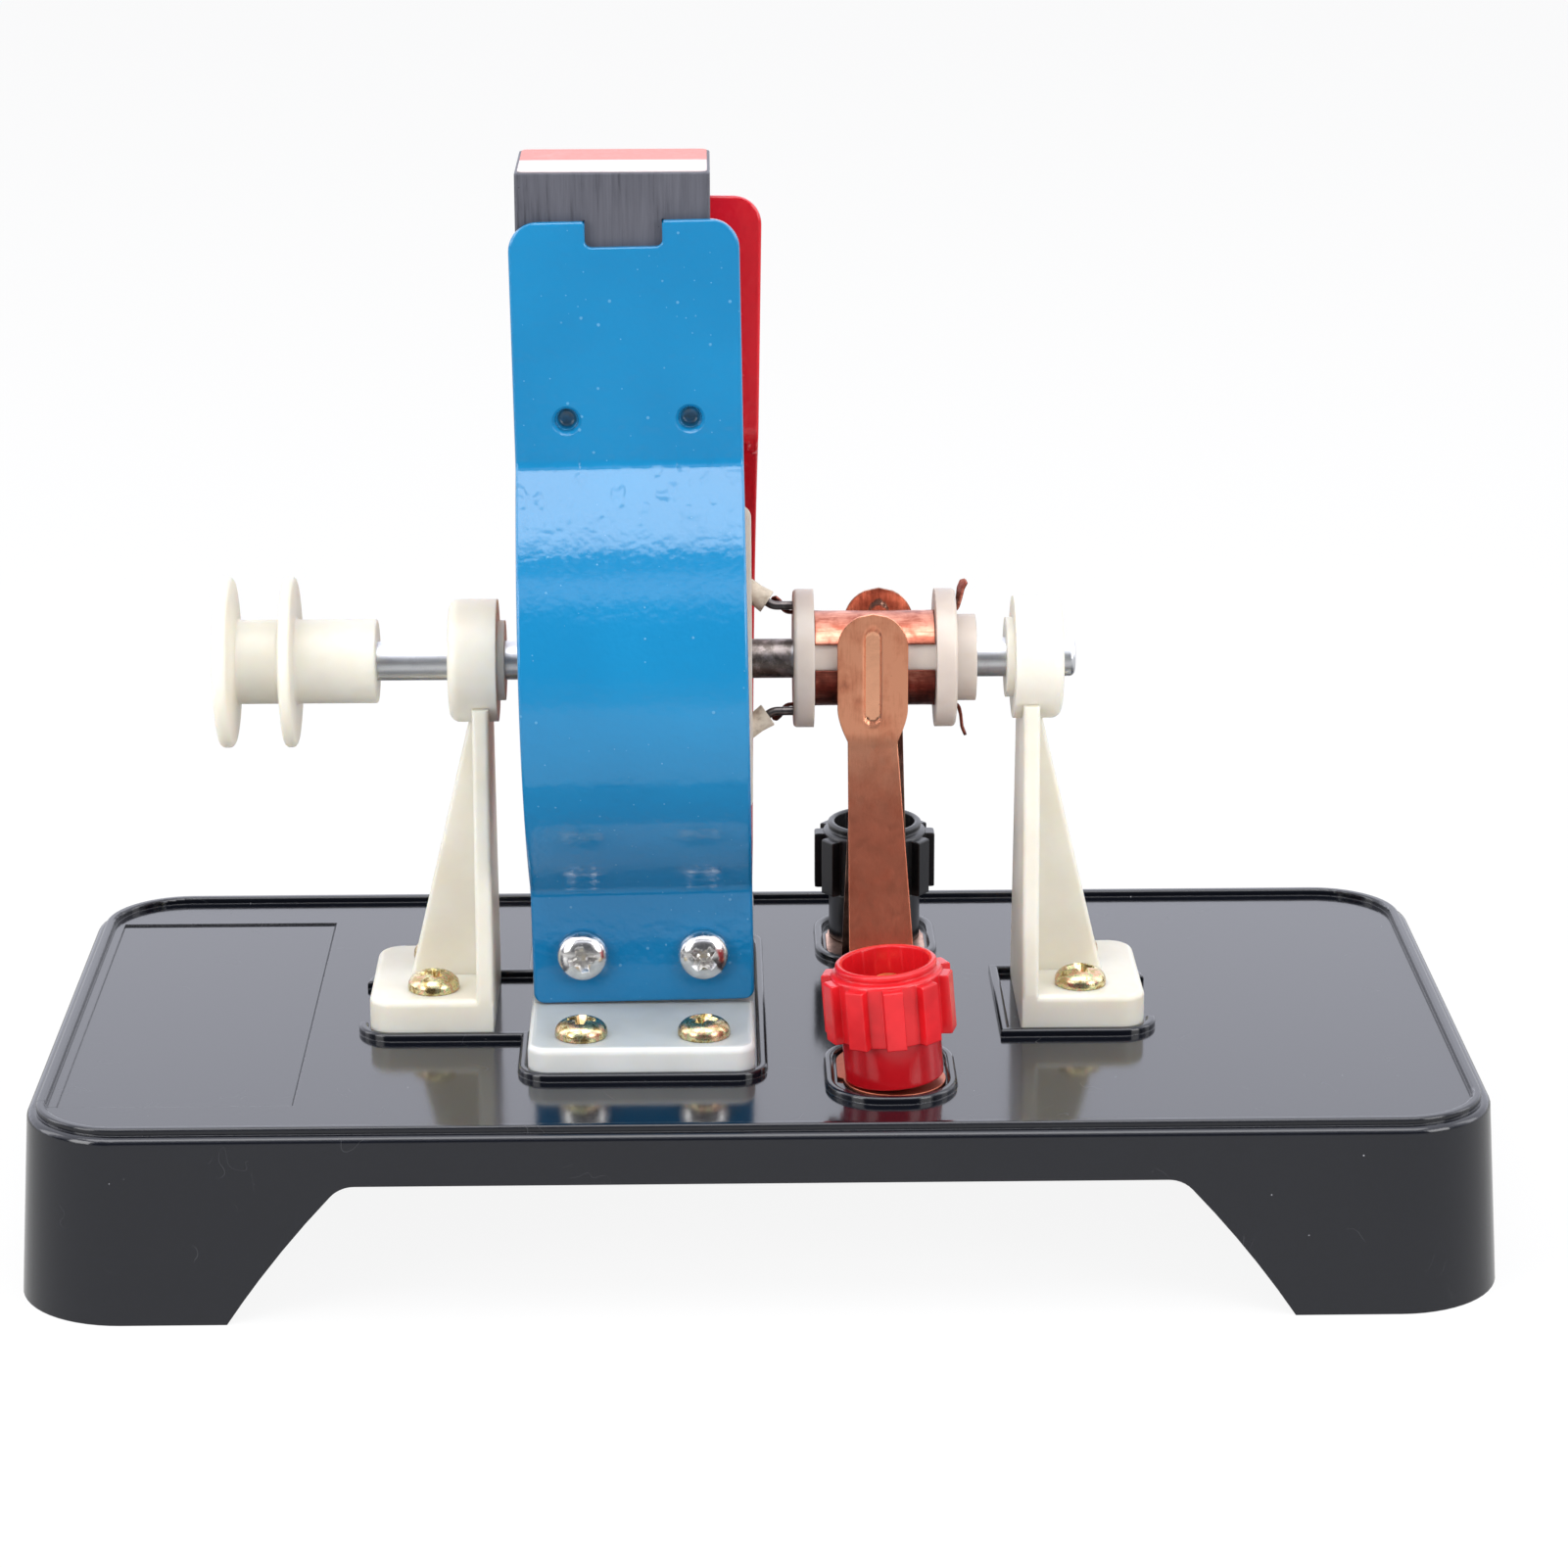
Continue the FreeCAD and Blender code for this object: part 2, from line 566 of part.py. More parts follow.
# ---------------------------------------------------------------- bearing brackets
def bracket_right():
    """The bearing bracket at the free end of the shaft, moulded in one piece."""
    inner = bracket_foot_inner
    outer = inner + bracket_foot_length
    top = panel + bracket_foot_height
    foot = box(inner, outer, -bracket_foot_half_depth, bracket_foot_half_depth, panel, top)
    foot = foot.makeFillet(bracket_foot_corner, edges_near(foot, lambda p: abs(p.x - outer) < 0.01
                                                           and abs(p.z - (panel + top) / 2) < 0.01))
    foot = foot.makeFillet(bracket_foot_edge_round, edges_near(foot, lambda p: abs(p.z - top) < 0.01
                                                               and p.x > inner + 0.01))
    shoulder = shaft_height - barrel_radius * 0.6
    plate = polygon_prism([Vector(inner, -bracket_foot_half_depth, panel + bracket_foot_height / 2),
                           Vector(inner, bracket_foot_half_depth, panel + bracket_foot_height / 2),
                           Vector(inner, bracket_foot_half_depth, top),
                           Vector(inner, bracket_plate_top_half_depth, shoulder),
                           Vector(inner, -bracket_plate_top_half_depth, shoulder),
                           Vector(inner, -bracket_foot_half_depth, top)],
                          Vector(bracket_plate_thickness, 0, 0))
    plate_outer = inner + bracket_plate_thickness
    plate = plate.makeFillet(bracket_plate_round, edges_near(plate, lambda p: top < p.z < shoulder - 1
                                                             and abs(p.y) > bracket_plate_top_half_depth))
    half = bracket_gusset_thickness / 2
    gusset_foot = plate_outer + bracket_gusset_reach
    gusset_top = shaft_height - barrel_radius + 0.5
    gusset = polygon_prism([Vector(inner + 0.5, -half, panel + 1), Vector(gusset_foot, -half, panel + 1),
                            Vector(gusset_foot, -half, top),
                            Vector(plate_outer + bracket_gusset_top_reach, -half, gusset_top),
                            Vector(inner + 0.5, -half, gusset_top)],
                           Vector(0, bracket_gusset_thickness, 0))
    gusset_edges = edges_near(gusset, lambda p: abs(p.y) > half - 0.01 and p.x > plate_outer + 1
                              and top < p.z < shoulder - 5)
    gusset = gusset.makeFillet(bracket_plate_round, gusset_edges)
    barrel_inner = inner - barrel_overhang
    barrel_outer = barrel_inner + barrel_length
    barrel = rod(barrel_inner, barrel_outer, barrel_radius)
    barrel = barrel.makeFillet(barrel_edge_round, circles_at_x(barrel, barrel_outer, barrel_radius))
    boss = rod(barrel_inner - barrel_boss_length, barrel_inner + 0.5, barrel_boss_radius)
    bracket = foot.fuse([plate, gusset, barrel, boss]).removeSplitter()
    bore = shaft_radius + running_clearance
    bracket = bracket.cut(rod(barrel_inner - barrel_boss_length - 1, barrel_outer + 1, bore))
    chamfer = Part.makeCone(bore + barrel_bore_chamfer, bore, barrel_bore_chamfer,
                            Vector(barrel_outer, 0, shaft_height), Vector(-1, 0, 0))
    bracket = bracket.cut(chamfer)
    for x, y in bracket_screw_places:
        if x > 0:
            bracket = bracket.cut(pillar(x, y, panel - 1, top + 1, screw_hole_radius))
    return bracket


def bracket_left():
    """The bearing bracket at the pulley end, the mirror image of the other."""
    return mirrored_x(bracket_right())


def bracket_screws():
    """The four screws that hold the bracket feet to the base."""
    height = panel + bracket_foot_height
    return [pan_screw(Vector(x, y, height), Z_AXIS, screw_length) for x, y in bracket_screw_places]


# ---------------------------------------------------------------- field
def field_foot_front():
    """The front L-shaped foot that carries the front pole plate."""
    half = pole_plate_width / 2
    top = panel + field_foot_height
    wall_inner_y = -(plate_inner_y - field_wall_thickness)
    foot = box(field_centre_x - half - field_foot_left_reach, field_centre_x + half, field_foot_front_y, wall_inner_y,
               panel, top)
    foot = foot.makeFillet(field_foot_corner, edges_near(foot, lambda p: abs(p.y - field_foot_front_y) < 0.01
                                                         and abs(p.z - (panel + top) / 2) < 0.01))
    foot = foot.makeFillet(field_foot_edge_round, edges_near(foot, lambda p: abs(p.z - top) < 0.01
                                                             and p.y < wall_inner_y - 0.01))
    wall_top = shaft_height - bend_centre_z - field_wall_top_gap
    wall = box(field_centre_x - half, field_centre_x + half, -plate_inner_y, wall_inner_y, panel, wall_top)
    wall = wall.makeFillet(field_foot_edge_round, edges_near(wall, lambda p: abs(p.z - wall_top) < 0.01
                                                             and abs(p.y - wall_inner_y) < 0.01))
    foot = foot.fuse(wall).removeSplitter()
    for x in screw_xs:
        foot = foot.cut(pillar(x, field_foot_screw_y, panel - 1, top + 1, screw_hole_radius))
        pilot = Part.makeCylinder(screw_shank_radius + screw_pilot_clearance, field_wall_thickness + 2,
                                  Vector(x, -plate_inner_y - 1, plate_screw_z), Y_AXIS)
        foot = foot.cut(pilot)
    return foot


def field_foot_screws():
    """The four screws that hold the field feet to the base."""
    height = panel + field_foot_height
    return [pan_screw(Vector(x, y, height), Z_AXIS, screw_length) for x, y in field_screw_places]


def pole_plate(lean):
    """One pole plate at the front: flat, bend, curve round the rotor, bend, flat, then leaned."""
    def point(y, z):
        return Vector(field_centre_x - pole_plate_width / 2, -y, shaft_height + z)

    def arc(centre_y, centre_z, radius, start, finish):
        ends = [point(centre_y + radius * math.cos(angle), centre_z + radius * math.sin(angle))
                for angle in (start, (start + finish) / 2, finish)]
        return Part.Arc(*ends).toShape()

    def face_edges(inset):
        shoulder_end = math.atan2(bend_centre_z - shoulder_centre_z, bend_centre_y - shoulder_centre_y)
        bend = (bend_centre_y, bend_centre_z, pole_bend_radius + inset)
        shoulder = (shoulder_centre_y, shoulder_centre_z, pole_shoulder_radius - inset)
        flat_y = plate_outer_y - inset
        top = point(flat_y, pole_plate_top)
        bottom = point(flat_y, plate_bottom - shaft_height)
        edges = [Part.makeLine(top, point(flat_y, bend_centre_z)),
                 arc(*bend, math.pi, math.pi + shoulder_end),
                 arc(*shoulder, shoulder_end, arc_turn),
                 arc(arc_centre_y, 0, pole_arc_radius - inset, arc_turn, -arc_turn),
                 arc(shoulder[0], -shoulder[1], shoulder[2], -arc_turn, -shoulder_end),
                 arc(bend[0], -bend[1], bend[2], math.pi - shoulder_end, math.pi),
                 Part.makeLine(point(flat_y, -bend_centre_z), bottom)]
        return edges, top, bottom

    outer, outer_top, outer_bottom = face_edges(0)
    inner, inner_top, inner_bottom = face_edges(pole_plate_thickness)
    ends = [Part.makeLine(outer_top, inner_top), Part.makeLine(outer_bottom, inner_bottom)]
    profile = Part.Wire(Part.__sortEdges__(outer + inner + ends))
    plate = Part.Face(profile).extrude(Vector(pole_plate_width, 0, 0))
    top_z = shaft_height + pole_plate_top
    middle_y = -(plate_inner_y + plate_outer_y) / 2
    corners = edges_near(plate, lambda p: abs(p.z - top_z) < 0.01 and abs(p.y - middle_y) < 0.01)
    plate = plate.makeFillet(pole_plate_top_corner, corners)
    corners = edges_near(plate, lambda p: abs(p.z - plate_bottom) < 0.01 and abs(p.y - middle_y) < 0.01)
    plate = plate.makeFillet(pole_plate_bottom_corner, corners)
    notch = box(field_centre_x - pole_notch_width / 2, field_centre_x + pole_notch_width / 2,
                -plate_outer_y - 1, -plate_inner_y + 1, top_z - pole_notch_depth, top_z + 1)
    notch_corners = edges_near(notch, lambda p: abs(p.z - top_z + pole_notch_depth) < 0.01
                               and abs(p.y - middle_y) < 0.6)
    notch = notch.makeFillet(pole_notch_round, notch_corners)
    plate = plate.cut(notch)
    dimple_z = shaft_height + dimple_height
    for sign in (-1, 1):
        x = field_centre_x + sign * dimple_spacing / 2
        bump = Part.makeCone(dimple_radius, dimple_radius - 0.3, dimple_depth,
                             Vector(x, -plate_inner_y, dimple_z), Y_AXIS)
        plate = plate.fuse(bump)
        hollow_depth = dimple_depth + pole_plate_thickness - dimple_wall
        hollow = Part.makeCone(dimple_radius, dimple_radius * 0.6, hollow_depth,
                               Vector(x, -plate_outer_y, dimple_z), Y_AXIS)
        plate = plate.cut(hollow)
        hole = Part.makeCylinder(screw_hole_radius, 3 * pole_plate_thickness,
                                 Vector(field_centre_x + sign * field_screw_spacing / 2, -plate_outer_y - 1,
                                        plate_screw_z), Y_AXIS)
        plate = plate.cut(hole)
    plate.rotate(Vector(field_centre_x, 0, plate_screw_z), Y_AXIS, lean)
    return plate


def plate_screws():
    """The four bright screws that hold the pole plates to their feet."""
    screws = []
    for sign_y in (-1, 1):
        for x in screw_xs:
            seat = Vector(x, sign_y * plate_outer_y, plate_screw_z)
            screws.append(pan_screw(seat, Vector(0, sign_y, 0), pole_plate_thickness + field_wall_thickness))
    return screws


def magnet_bottom():
    """The height at which the magnet rests on the pressed bumps."""
    return shaft_height + dimple_height + dimple_radius + magnet_seat_gap


def magnet_block():
    """The ferrite block that stands between the pole plates."""
    x = field_centre_x + magnet_offset
    z = magnet_bottom()
    block = box(x - magnet_width / 2, x + magnet_width / 2, -magnet_half_depth, magnet_half_depth,
                z, z + magnet_height)
    upright = edges_near(block, lambda p: abs(p.z - z - magnet_height / 2) < 0.01)
    return block.makeFillet(magnet_edge_round, upright)


def magnet_label(sign_y):
    """Half of the thin paper label on top of the magnet."""
    x = field_centre_x + magnet_offset
    z = magnet_bottom() + magnet_height
    half_length = magnet_width / 2 - magnet_edge_round
    y_far = sign_y * (magnet_half_depth - magnet_edge_round)
    return box(x - half_length, x + half_length, min(0, y_far), max(0, y_far), z, z + magnet_label_thickness)


# ---------------------------------------------------------------- rotor
def at_rest(shape):
    """Turn a rotor piece from its drawn position to its rest angle."""
    turned_shape = shape.copy()
    turned_shape.rotate(Vector(0, 0, shaft_height), X_AXIS, rotor_rest_angle)
    return turned_shape


def shaft():
    """The steel shaft."""
    bar = rod(shaft_left_end, shaft_right_end, shaft_radius)
    return bar.makeFillet(shaft_end_round, circles_at_x(bar, shaft_right_end, shaft_radius))


def pulley():
    """The belt pulley with its long hub."""
    root_right = pulley_right_flange_face - pulley_right_rim - pulley_groove_slope
    root_left = root_right - pulley_groove_width
    rim_left = root_left - pulley_groove_slope
    left_face = rim_left - pulley_left_rim
    axis_start = Vector(0, 0, shaft_height)
    rim_right = pulley_right_flange_face - pulley_right_rim
    profile = [(pulley_hub_end, 0), (pulley_hub_end, pulley_hub_radius),
               (pulley_right_flange_face, pulley_hub_radius),
               (pulley_right_flange_face, pulley_flange_radius), (rim_right, pulley_flange_radius),
               (root_right, pulley_hub_radius), (root_left, pulley_hub_radius), (rim_left, pulley_flange_radius),
               (left_face, pulley_flange_radius), (left_face, 0)]
    wheel = turned([Vector(x, 0, shaft_height + radius) for x, radius in profile], axis_start, X_AXIS)
    rims = [edge for edge in wheel.Edges if isinstance(edge.Curve, Part.Circle)
            and abs(edge.Curve.Radius - pulley_flange_radius) < 0.01]
    wheel = wheel.makeFillet(pulley_rim_round, rims)
    return wheel.cut(rod(left_face - 1, pulley_hub_end + 1, shaft_radius + seat_clearance))


def former_block(inset, half_thickness):
    """A block the size of the coil former, drawn in by inset all round."""
    half_length = former_length / 2 - inset
    half_height = former_height / 2 - inset
    block = box(field_centre_x - half_length, field_centre_x + half_length, -half_thickness, half_thickness,
                shaft_height - half_height, shaft_height + half_height)
    corners = edges_near(block, lambda p: abs(p.y) < 0.01)
    return block.makeFillet(former_corner, corners)


def coil_former():
    """The rectangular bobbin: two cheeks, a core and the bosses that grip the shaft."""
    half = former_thickness / 2
    opening_inset = former_core_inset + former_core_wall
    body = former_block(0, half)
    channel = former_block(-1, half - former_cheek).cut(former_block(former_core_inset, half))
    boss_bar = rod(field_centre_x - former_length / 2, field_centre_x + former_length / 2, former_boss_radius)
    boss_bar = boss_bar.cut(former_block(opening_inset, half))
    body = body.cut(channel).cut(former_block(opening_inset, half + 1)).fuse(boss_bar).removeSplitter()
    bore = rod(field_centre_x - former_length, field_centre_x + former_length, shaft_radius + seat_clearance)
    return at_rest(body.cut(bore))


def coil_winding():
    """The enamelled wire wound round the former, parted round the shaft bosses."""
    half = former_thickness / 2 - former_cheek - winding_gap
    outer = former_block(winding_inset, half)
    inner = former_block(former_core_inset - winding_gap, half + 1)
    parting = rod(field_centre_x - former_length, field_centre_x + former_length,
                  former_boss_radius + winding_gap)
    return at_rest(outer.cut(inner).cut(parting))


def upper_and_lower(shape):
    """A rotor piece drawn above the shaft, and its image below."""
    image = shape.mirror(Vector(0, 0, shaft_height), Z_AXIS)
    return at_rest(shape), at_rest(image)


def tab_slots(x_low, x_high):
    """The slots for the segments' tabs through one flange."""
    half = tab_width / 2 + tab_slot_clearance
    low = segment_inner_radius - tab_slot_clearance / 4
    high = segment_outer_radius + tab_slot_clearance
    slots = []
    for sign in (-1, 1):
        z_low, z_high = sorted((shaft_height + sign * low, shaft_height + sign * high))
        slots.append(box(x_low - 0.5, x_high + 0.5, -half, half, z_low, z_high))
    return slots


def commutator_spool():
    """The insulating spool that carries the copper segments."""
    left_flange = rod(commutator_left, commutator_body_left, commutator_flange_radius)
    right_flange = rod(commutator_body_right, commutator_right, commutator_flange_radius)
    for flange, x in ((0, commutator_left), (1, commutator_right)):
        piece = left_flange if flange == 0 else right_flange
        piece = piece.makeFillet(commutator_edge_round, circles_at_x(piece, x, commutator_flange_radius))
        if flange == 0:
            left_flange = piece
        else:
            right_flange = piece
    core = rod(commutator_left + 0.5, commutator_right + commutator_hub, commutator_core_radius)
    spool = core.fuse([left_flange, right_flange]).removeSplitter()
    for x_low, x_high in ((commutator_left, commutator_body_left), (commutator_body_right, commutator_right)):
        for slot in tab_slots(x_low, x_high):
            spool = spool.cut(slot)
    bore = rod(commutator_left - 1, commutator_right + commutator_hub + 1, shaft_radius + seat_clearance)
    return at_rest(spool.cut(bore))


def commutator_segment():
    """The upper copper segment with a tab bent out at each end, before it is turned to rest."""
    x_low = commutator_body_left + segment_end_gap
    x_high = commutator_body_right - segment_end_gap
    ring = rod(x_low, x_high, segment_outer_radius).cut(rod(x_low - 1, x_high + 1, segment_inner_radius))
    half_angle = math.radians(90 - segment_gap_angle / 2)
    reach = 2 * segment_outer_radius
    edge_y = reach * math.sin(half_angle)
    edge_z = reach * math.cos(half_angle)
    wedge = polygon_prism([Vector(x_low - 1, 0, shaft_height),
                           Vector(x_low - 1, edge_y, shaft_height + edge_z),
                           Vector(x_low - 1, edge_y, shaft_height + reach),
                           Vector(x_low - 1, -edge_y, shaft_height + reach),
                           Vector(x_low - 1, -edge_y, shaft_height + edge_z)],
                          Vector(x_high - x_low + 2, 0, 0))
    segment = ring.common(wedge)
    tab_middle = shaft_height + segment_inner_radius + tab_thickness / 2
    half = tab_width / 2

    def tab(start_x, bend_x, tip_x, tip_radius):
        points = [Vector(start_x, -half, tab_middle), Vector(bend_x, -half, tab_middle),
                  Vector(tip_x, -half, shaft_height + tip_radius)]
        return band(points, [tab_bend_radius], tab_thickness, Vector(0, tab_width, 0))

    right = tab(x_high - 1, commutator_right + right_tab_reach, commutator_right + right_tab_tip_x,
                right_tab_tip_radius)
    left = tab(x_low + 1, commutator_left - left_tab_reach, commutator_left - left_tab_tip_x,
               left_tab_tip_radius)
    return segment.fuse([right, left]).removeSplitter()


def lead_points():
    """The route of the upper coil lead: out of the winding, then along to the commutator."""
    start = Vector(winding_face_x, -lead_wire_offset, shaft_height + sleeve_start_height)
    bend = Vector(sleeve_end_x, -lead_wire_offset, shaft_height + lead_wire_height)
    end = Vector(commutator_left - seat_clearance, -lead_wire_offset, shaft_height + lead_wire_height)
    return start, bend, end


def behind_winding():
    """All that lies behind the winding's end face, above the shaft."""
    return box(winding_face_x - 10, winding_face_x, -10, 10, shaft_height, shaft_height + 20)


def lead_wire():
    """The tinned end of the coil wire, cut flat where it leaves the winding."""
    start, bend, end = lead_points()
    tail = start - (bend - start).normalize() * lead_wire_tail
    return bent_rod((tail, bend, end), lead_bend_radius, lead_wire_radius).cut(behind_winding())


def lead_sleeve():
    """The insulating sleeve over the slanted part of the lead."""
    start, bend, end = lead_points()
    run = (bend - start) * sleeve_share
    direction = Vector(run).normalize()
    tube = Part.makeCylinder(sleeve_outer_radius, run.Length + sleeve_outer_radius,
                             start - direction * sleeve_outer_radius, direction)
    bore = Part.makeCylinder(lead_wire_radius + sleeve_bore_clearance, run.Length + 4 * sleeve_outer_radius,
                             start - direction * 2 * sleeve_outer_radius, direction)
    return tube.cut(bore).cut(behind_winding())


# ---------------------------------------------------------------- brushes and terminals
def brush_at_rear(shift, pad_shift):
    """A brush at +Y: a round-ended pad under the terminal, a leaning leaf and an upright slotted head."""
    head_y = segment_outer_radius + brush_contact_gap + brush_groove_depth + brush_thickness / 2
    bend_y = terminal_y - brush_bend_y
    pad_z = panel + brush_thickness / 2
    low_x = terminal_x - brush_pad_radius - 3
    width = 2 * brush_pad_radius + 6
    neck_z = shaft_height + brush_neck
    top_z = shaft_height + brush_head_top
    leaf_points = [Vector(low_x, bend_y + 3, pad_z), Vector(low_x, bend_y, pad_z),
                   Vector(low_x, head_y, neck_z), Vector(low_x, head_y, top_z)]
    leaf = band(leaf_points, [brush_bend_radius, brush_neck_bend_radius], brush_thickness,
                Vector(width, 0, 0))
    head_x = terminal_x + shift
    head_half = brush_head_width / 2
    neck_half = brush_neck_width / 2
    foot_half = brush_foot_width / 2
    round_z = top_z - head_half
    shoulder_z = shaft_height + brush_head_bottom
    foot_x = terminal_x + brush_foot_shift
    corners = [(foot_x - foot_half, panel - 1), (foot_x + foot_half, panel - 1),
               (head_x + neck_half, neck_z), (head_x + head_half, shoulder_z),
               (head_x + head_half, round_z), (head_x - head_half, round_z),
               (head_x - head_half, shoulder_z), (head_x - neck_half, neck_z)]
    outline = polygon_prism([Vector(x, 0, z) for x, z in corners], Vector(0, terminal_y, 0))
    crown = Part.makeCylinder(head_half, terminal_y, Vector(head_x, 0, round_z), Y_AXIS)
    leaf = leaf.common(outline.fuse(crown).removeSplitter())
    pad = pillar(terminal_x + pad_shift, terminal_y, panel, panel + brush_thickness, brush_pad_radius)
    tongue_end = terminal_rim_inner_end + terminal_rim_wall + brush_tongue_gap
    tongue_corner = terminal_rim_corner - terminal_rim_wall - brush_tongue_gap
    tongue_half_depth = (terminal_y + tongue_corner - tongue_end) / 2
    tongue = rounded_block(brush_tongue_half_width, tongue_half_depth, tongue_corner, panel,
                           panel + brush_thickness, terminal_x, tongue_end + tongue_half_depth)
    beyond_terminal = box(low_x, low_x + width, terminal_y, 2 * terminal_y, panel - 1, panel + 1)
    below_leaf = box(foot_x - foot_half, foot_x + foot_half, 0, bend_y + brush_bend_radius, panel - 1, panel + 1)
    tongue = tongue.cut(beyond_terminal).cut(below_leaf)
    brush = leaf.fuse([pad, tongue]).removeSplitter()
    brush = brush.cut(pillar(terminal_x, terminal_y, panel - 1, panel + 2, stud_panel_hole_radius))
    ridge = slot_bar(head_x, head_y - brush_thickness / 2 - brush_groove_depth, head_y, brush_groove_width)
    groove = slot_bar(head_x, head_y + brush_thickness / 2 - brush_groove_depth, head_y + brush_thickness,
                      brush_groove_width - 2 * brush_groove_depth)
    return brush.fuse(ridge).removeSplitter().cut(groove)


def slot_bar(x, y_low, y_high, width):
    """An upright bar with round ends, used for the groove pressed in a brush head."""
    half = width / 2
    centre_z = shaft_height + brush_groove_centre
    straight = brush_groove_length / 2 - brush_groove_width / 2
    bar = box(x - half, x + half, y_low, y_high, centre_z - straight, centre_z + straight)
    ends = [Part.makeCylinder(half, y_high - y_low, Vector(x, y_low, centre_z + sign * straight), Y_AXIS)
            for sign in (-1, 1)]
    return bar.fuse(ends).removeSplitter()


def terminal_stud():
    """The brass stud of the rear terminal, with the flange that clamps the collar."""
    x = terminal_x
    y = terminal_y
    collar_top = panel + collar_height
    bolt = pillar(x, y, panel - stud_tail, panel + stud_top, stud_radius)
    flange = pillar(x, y, collar_top - stud_flange_thickness, collar_top, stud_flange_radius)
    return bolt.fuse(flange).removeSplitter()


def leaned(shape):
    """A piece of the front terminal, drawn upright, as it leans in its hole."""
    shape.rotate(Vector(terminal_x, -terminal_y, terminal_pivot_z), Y_AXIS, front_terminal_lean)
    shape.translate(Vector(front_terminal_shift, 0, 0))
    return shape


def terminal_collar(bottom):
    """The insulating collar of the rear terminal, which clamps the brush pad to the panel."""
    x = terminal_x
    y = terminal_y
    top = panel + collar_height
    collar = pillar(x, y, bottom, top, collar_radius)
    upper_edge = edges_near(collar, lambda p: abs(p.z - top) < 0.01
                            and abs(math.hypot(p.x - x, p.y - y) - collar_radius) < 0.01)
    collar = collar.makeFillet(collar_edge_round, upper_edge)
    seat = pillar(x, y, top - stud_flange_thickness, top + 1, stud_flange_radius + seat_clearance)
    return collar.cut(seat).cut(pillar(x, y, bottom - 1, top, stud_radius + stud_hole_clearance))


def pressure_washer():
    """The loose washer under the rear terminal's knob."""
    bottom = panel + collar_height + washer_gap
    disc = pillar(terminal_x, terminal_y, bottom, bottom + washer_thickness, washer_radius)
    hole = pillar(terminal_x, terminal_y, bottom - 1, bottom + 2, stud_radius + stud_hole_clearance)
    return disc.cut(hole)


def terminal_knob(first_rib, rise):
    """The ribbed knob of the rear terminal, hollow above and threaded on the stud; first_rib is an angle."""
    x = terminal_x
    y = terminal_y
    bottom = panel + knob_bottom
    rib_top = panel + knob_rib_top
    top = panel + knob_top
    body = pillar(x, y, bottom, rib_top, knob_root_radius)
    for index in range(knob_rib_count):
        rib = box(x, x + 2 * knob_rib_radius, y - knob_rib_width / 2, y + knob_rib_width / 2, bottom, rib_top)
        rib.rotate(Vector(x, y, 0), Z_AXIS, first_rib + 360.0 * index / knob_rib_count)
        body = body.fuse(rib.common(pillar(x, y, bottom, rib_top, knob_rib_radius)))
    lip = pillar(x, y, bottom + 1, top, knob_lip_radius)
    body = body.fuse(lip).removeSplitter()
    mouth_edge = edges_near(body, lambda p: abs(p.z - top) < 0.01)
    body = body.makeFillet(knob_lip_round, mouth_edge)
    mouth = pillar(x, y, panel + knob_floor, top + 1, knob_mouth_radius)
    skirt = pillar(x, y, bottom - 1, bottom + knob_skirt_depth, collar_radius + knob_skirt_clearance)
    thread = pillar(x, y, bottom - 1, top, stud_radius + running_clearance)
    knob = body.cut(mouth).cut(skirt).cut(thread)
    knob.translate(Vector(0, 0, rise))
    return knob


def terminal_nuts():
    """The hexagon nuts under the panel, one for each stud."""
    corner_radius = nut_across_flats / math.sqrt(3)

    def nut(y, top):
        centre = Vector(terminal_x, y, top - nut_thickness)
        points = [centre + Vector(corner_radius * math.cos(math.radians(60 * step)),
                                  corner_radius * math.sin(math.radians(60 * step)), 0) for step in range(6)]
        solid = polygon_prism(points, Vector(0, 0, nut_thickness))
        return solid.cut(pillar(centre.x, centre.y, 0, top + 1, stud_radius + seat_clearance))

    return [nut(terminal_y, rear_washer_top - lock_washer_thickness),
            leaned(nut(-terminal_y, front_washer_top - lock_washer_thickness))]


def lock_washers():
    """The lock washers between the nuts and the panel."""
    def washer(y, top):
        disc = pillar(terminal_x, y, top - lock_washer_thickness, top, lock_washer_radius)
        return disc.cut(pillar(terminal_x, y, 0, top + 1, stud_radius + stud_hole_clearance))

    return [washer(terminal_y, rear_washer_top), leaned(washer(-terminal_y, front_washer_top))]


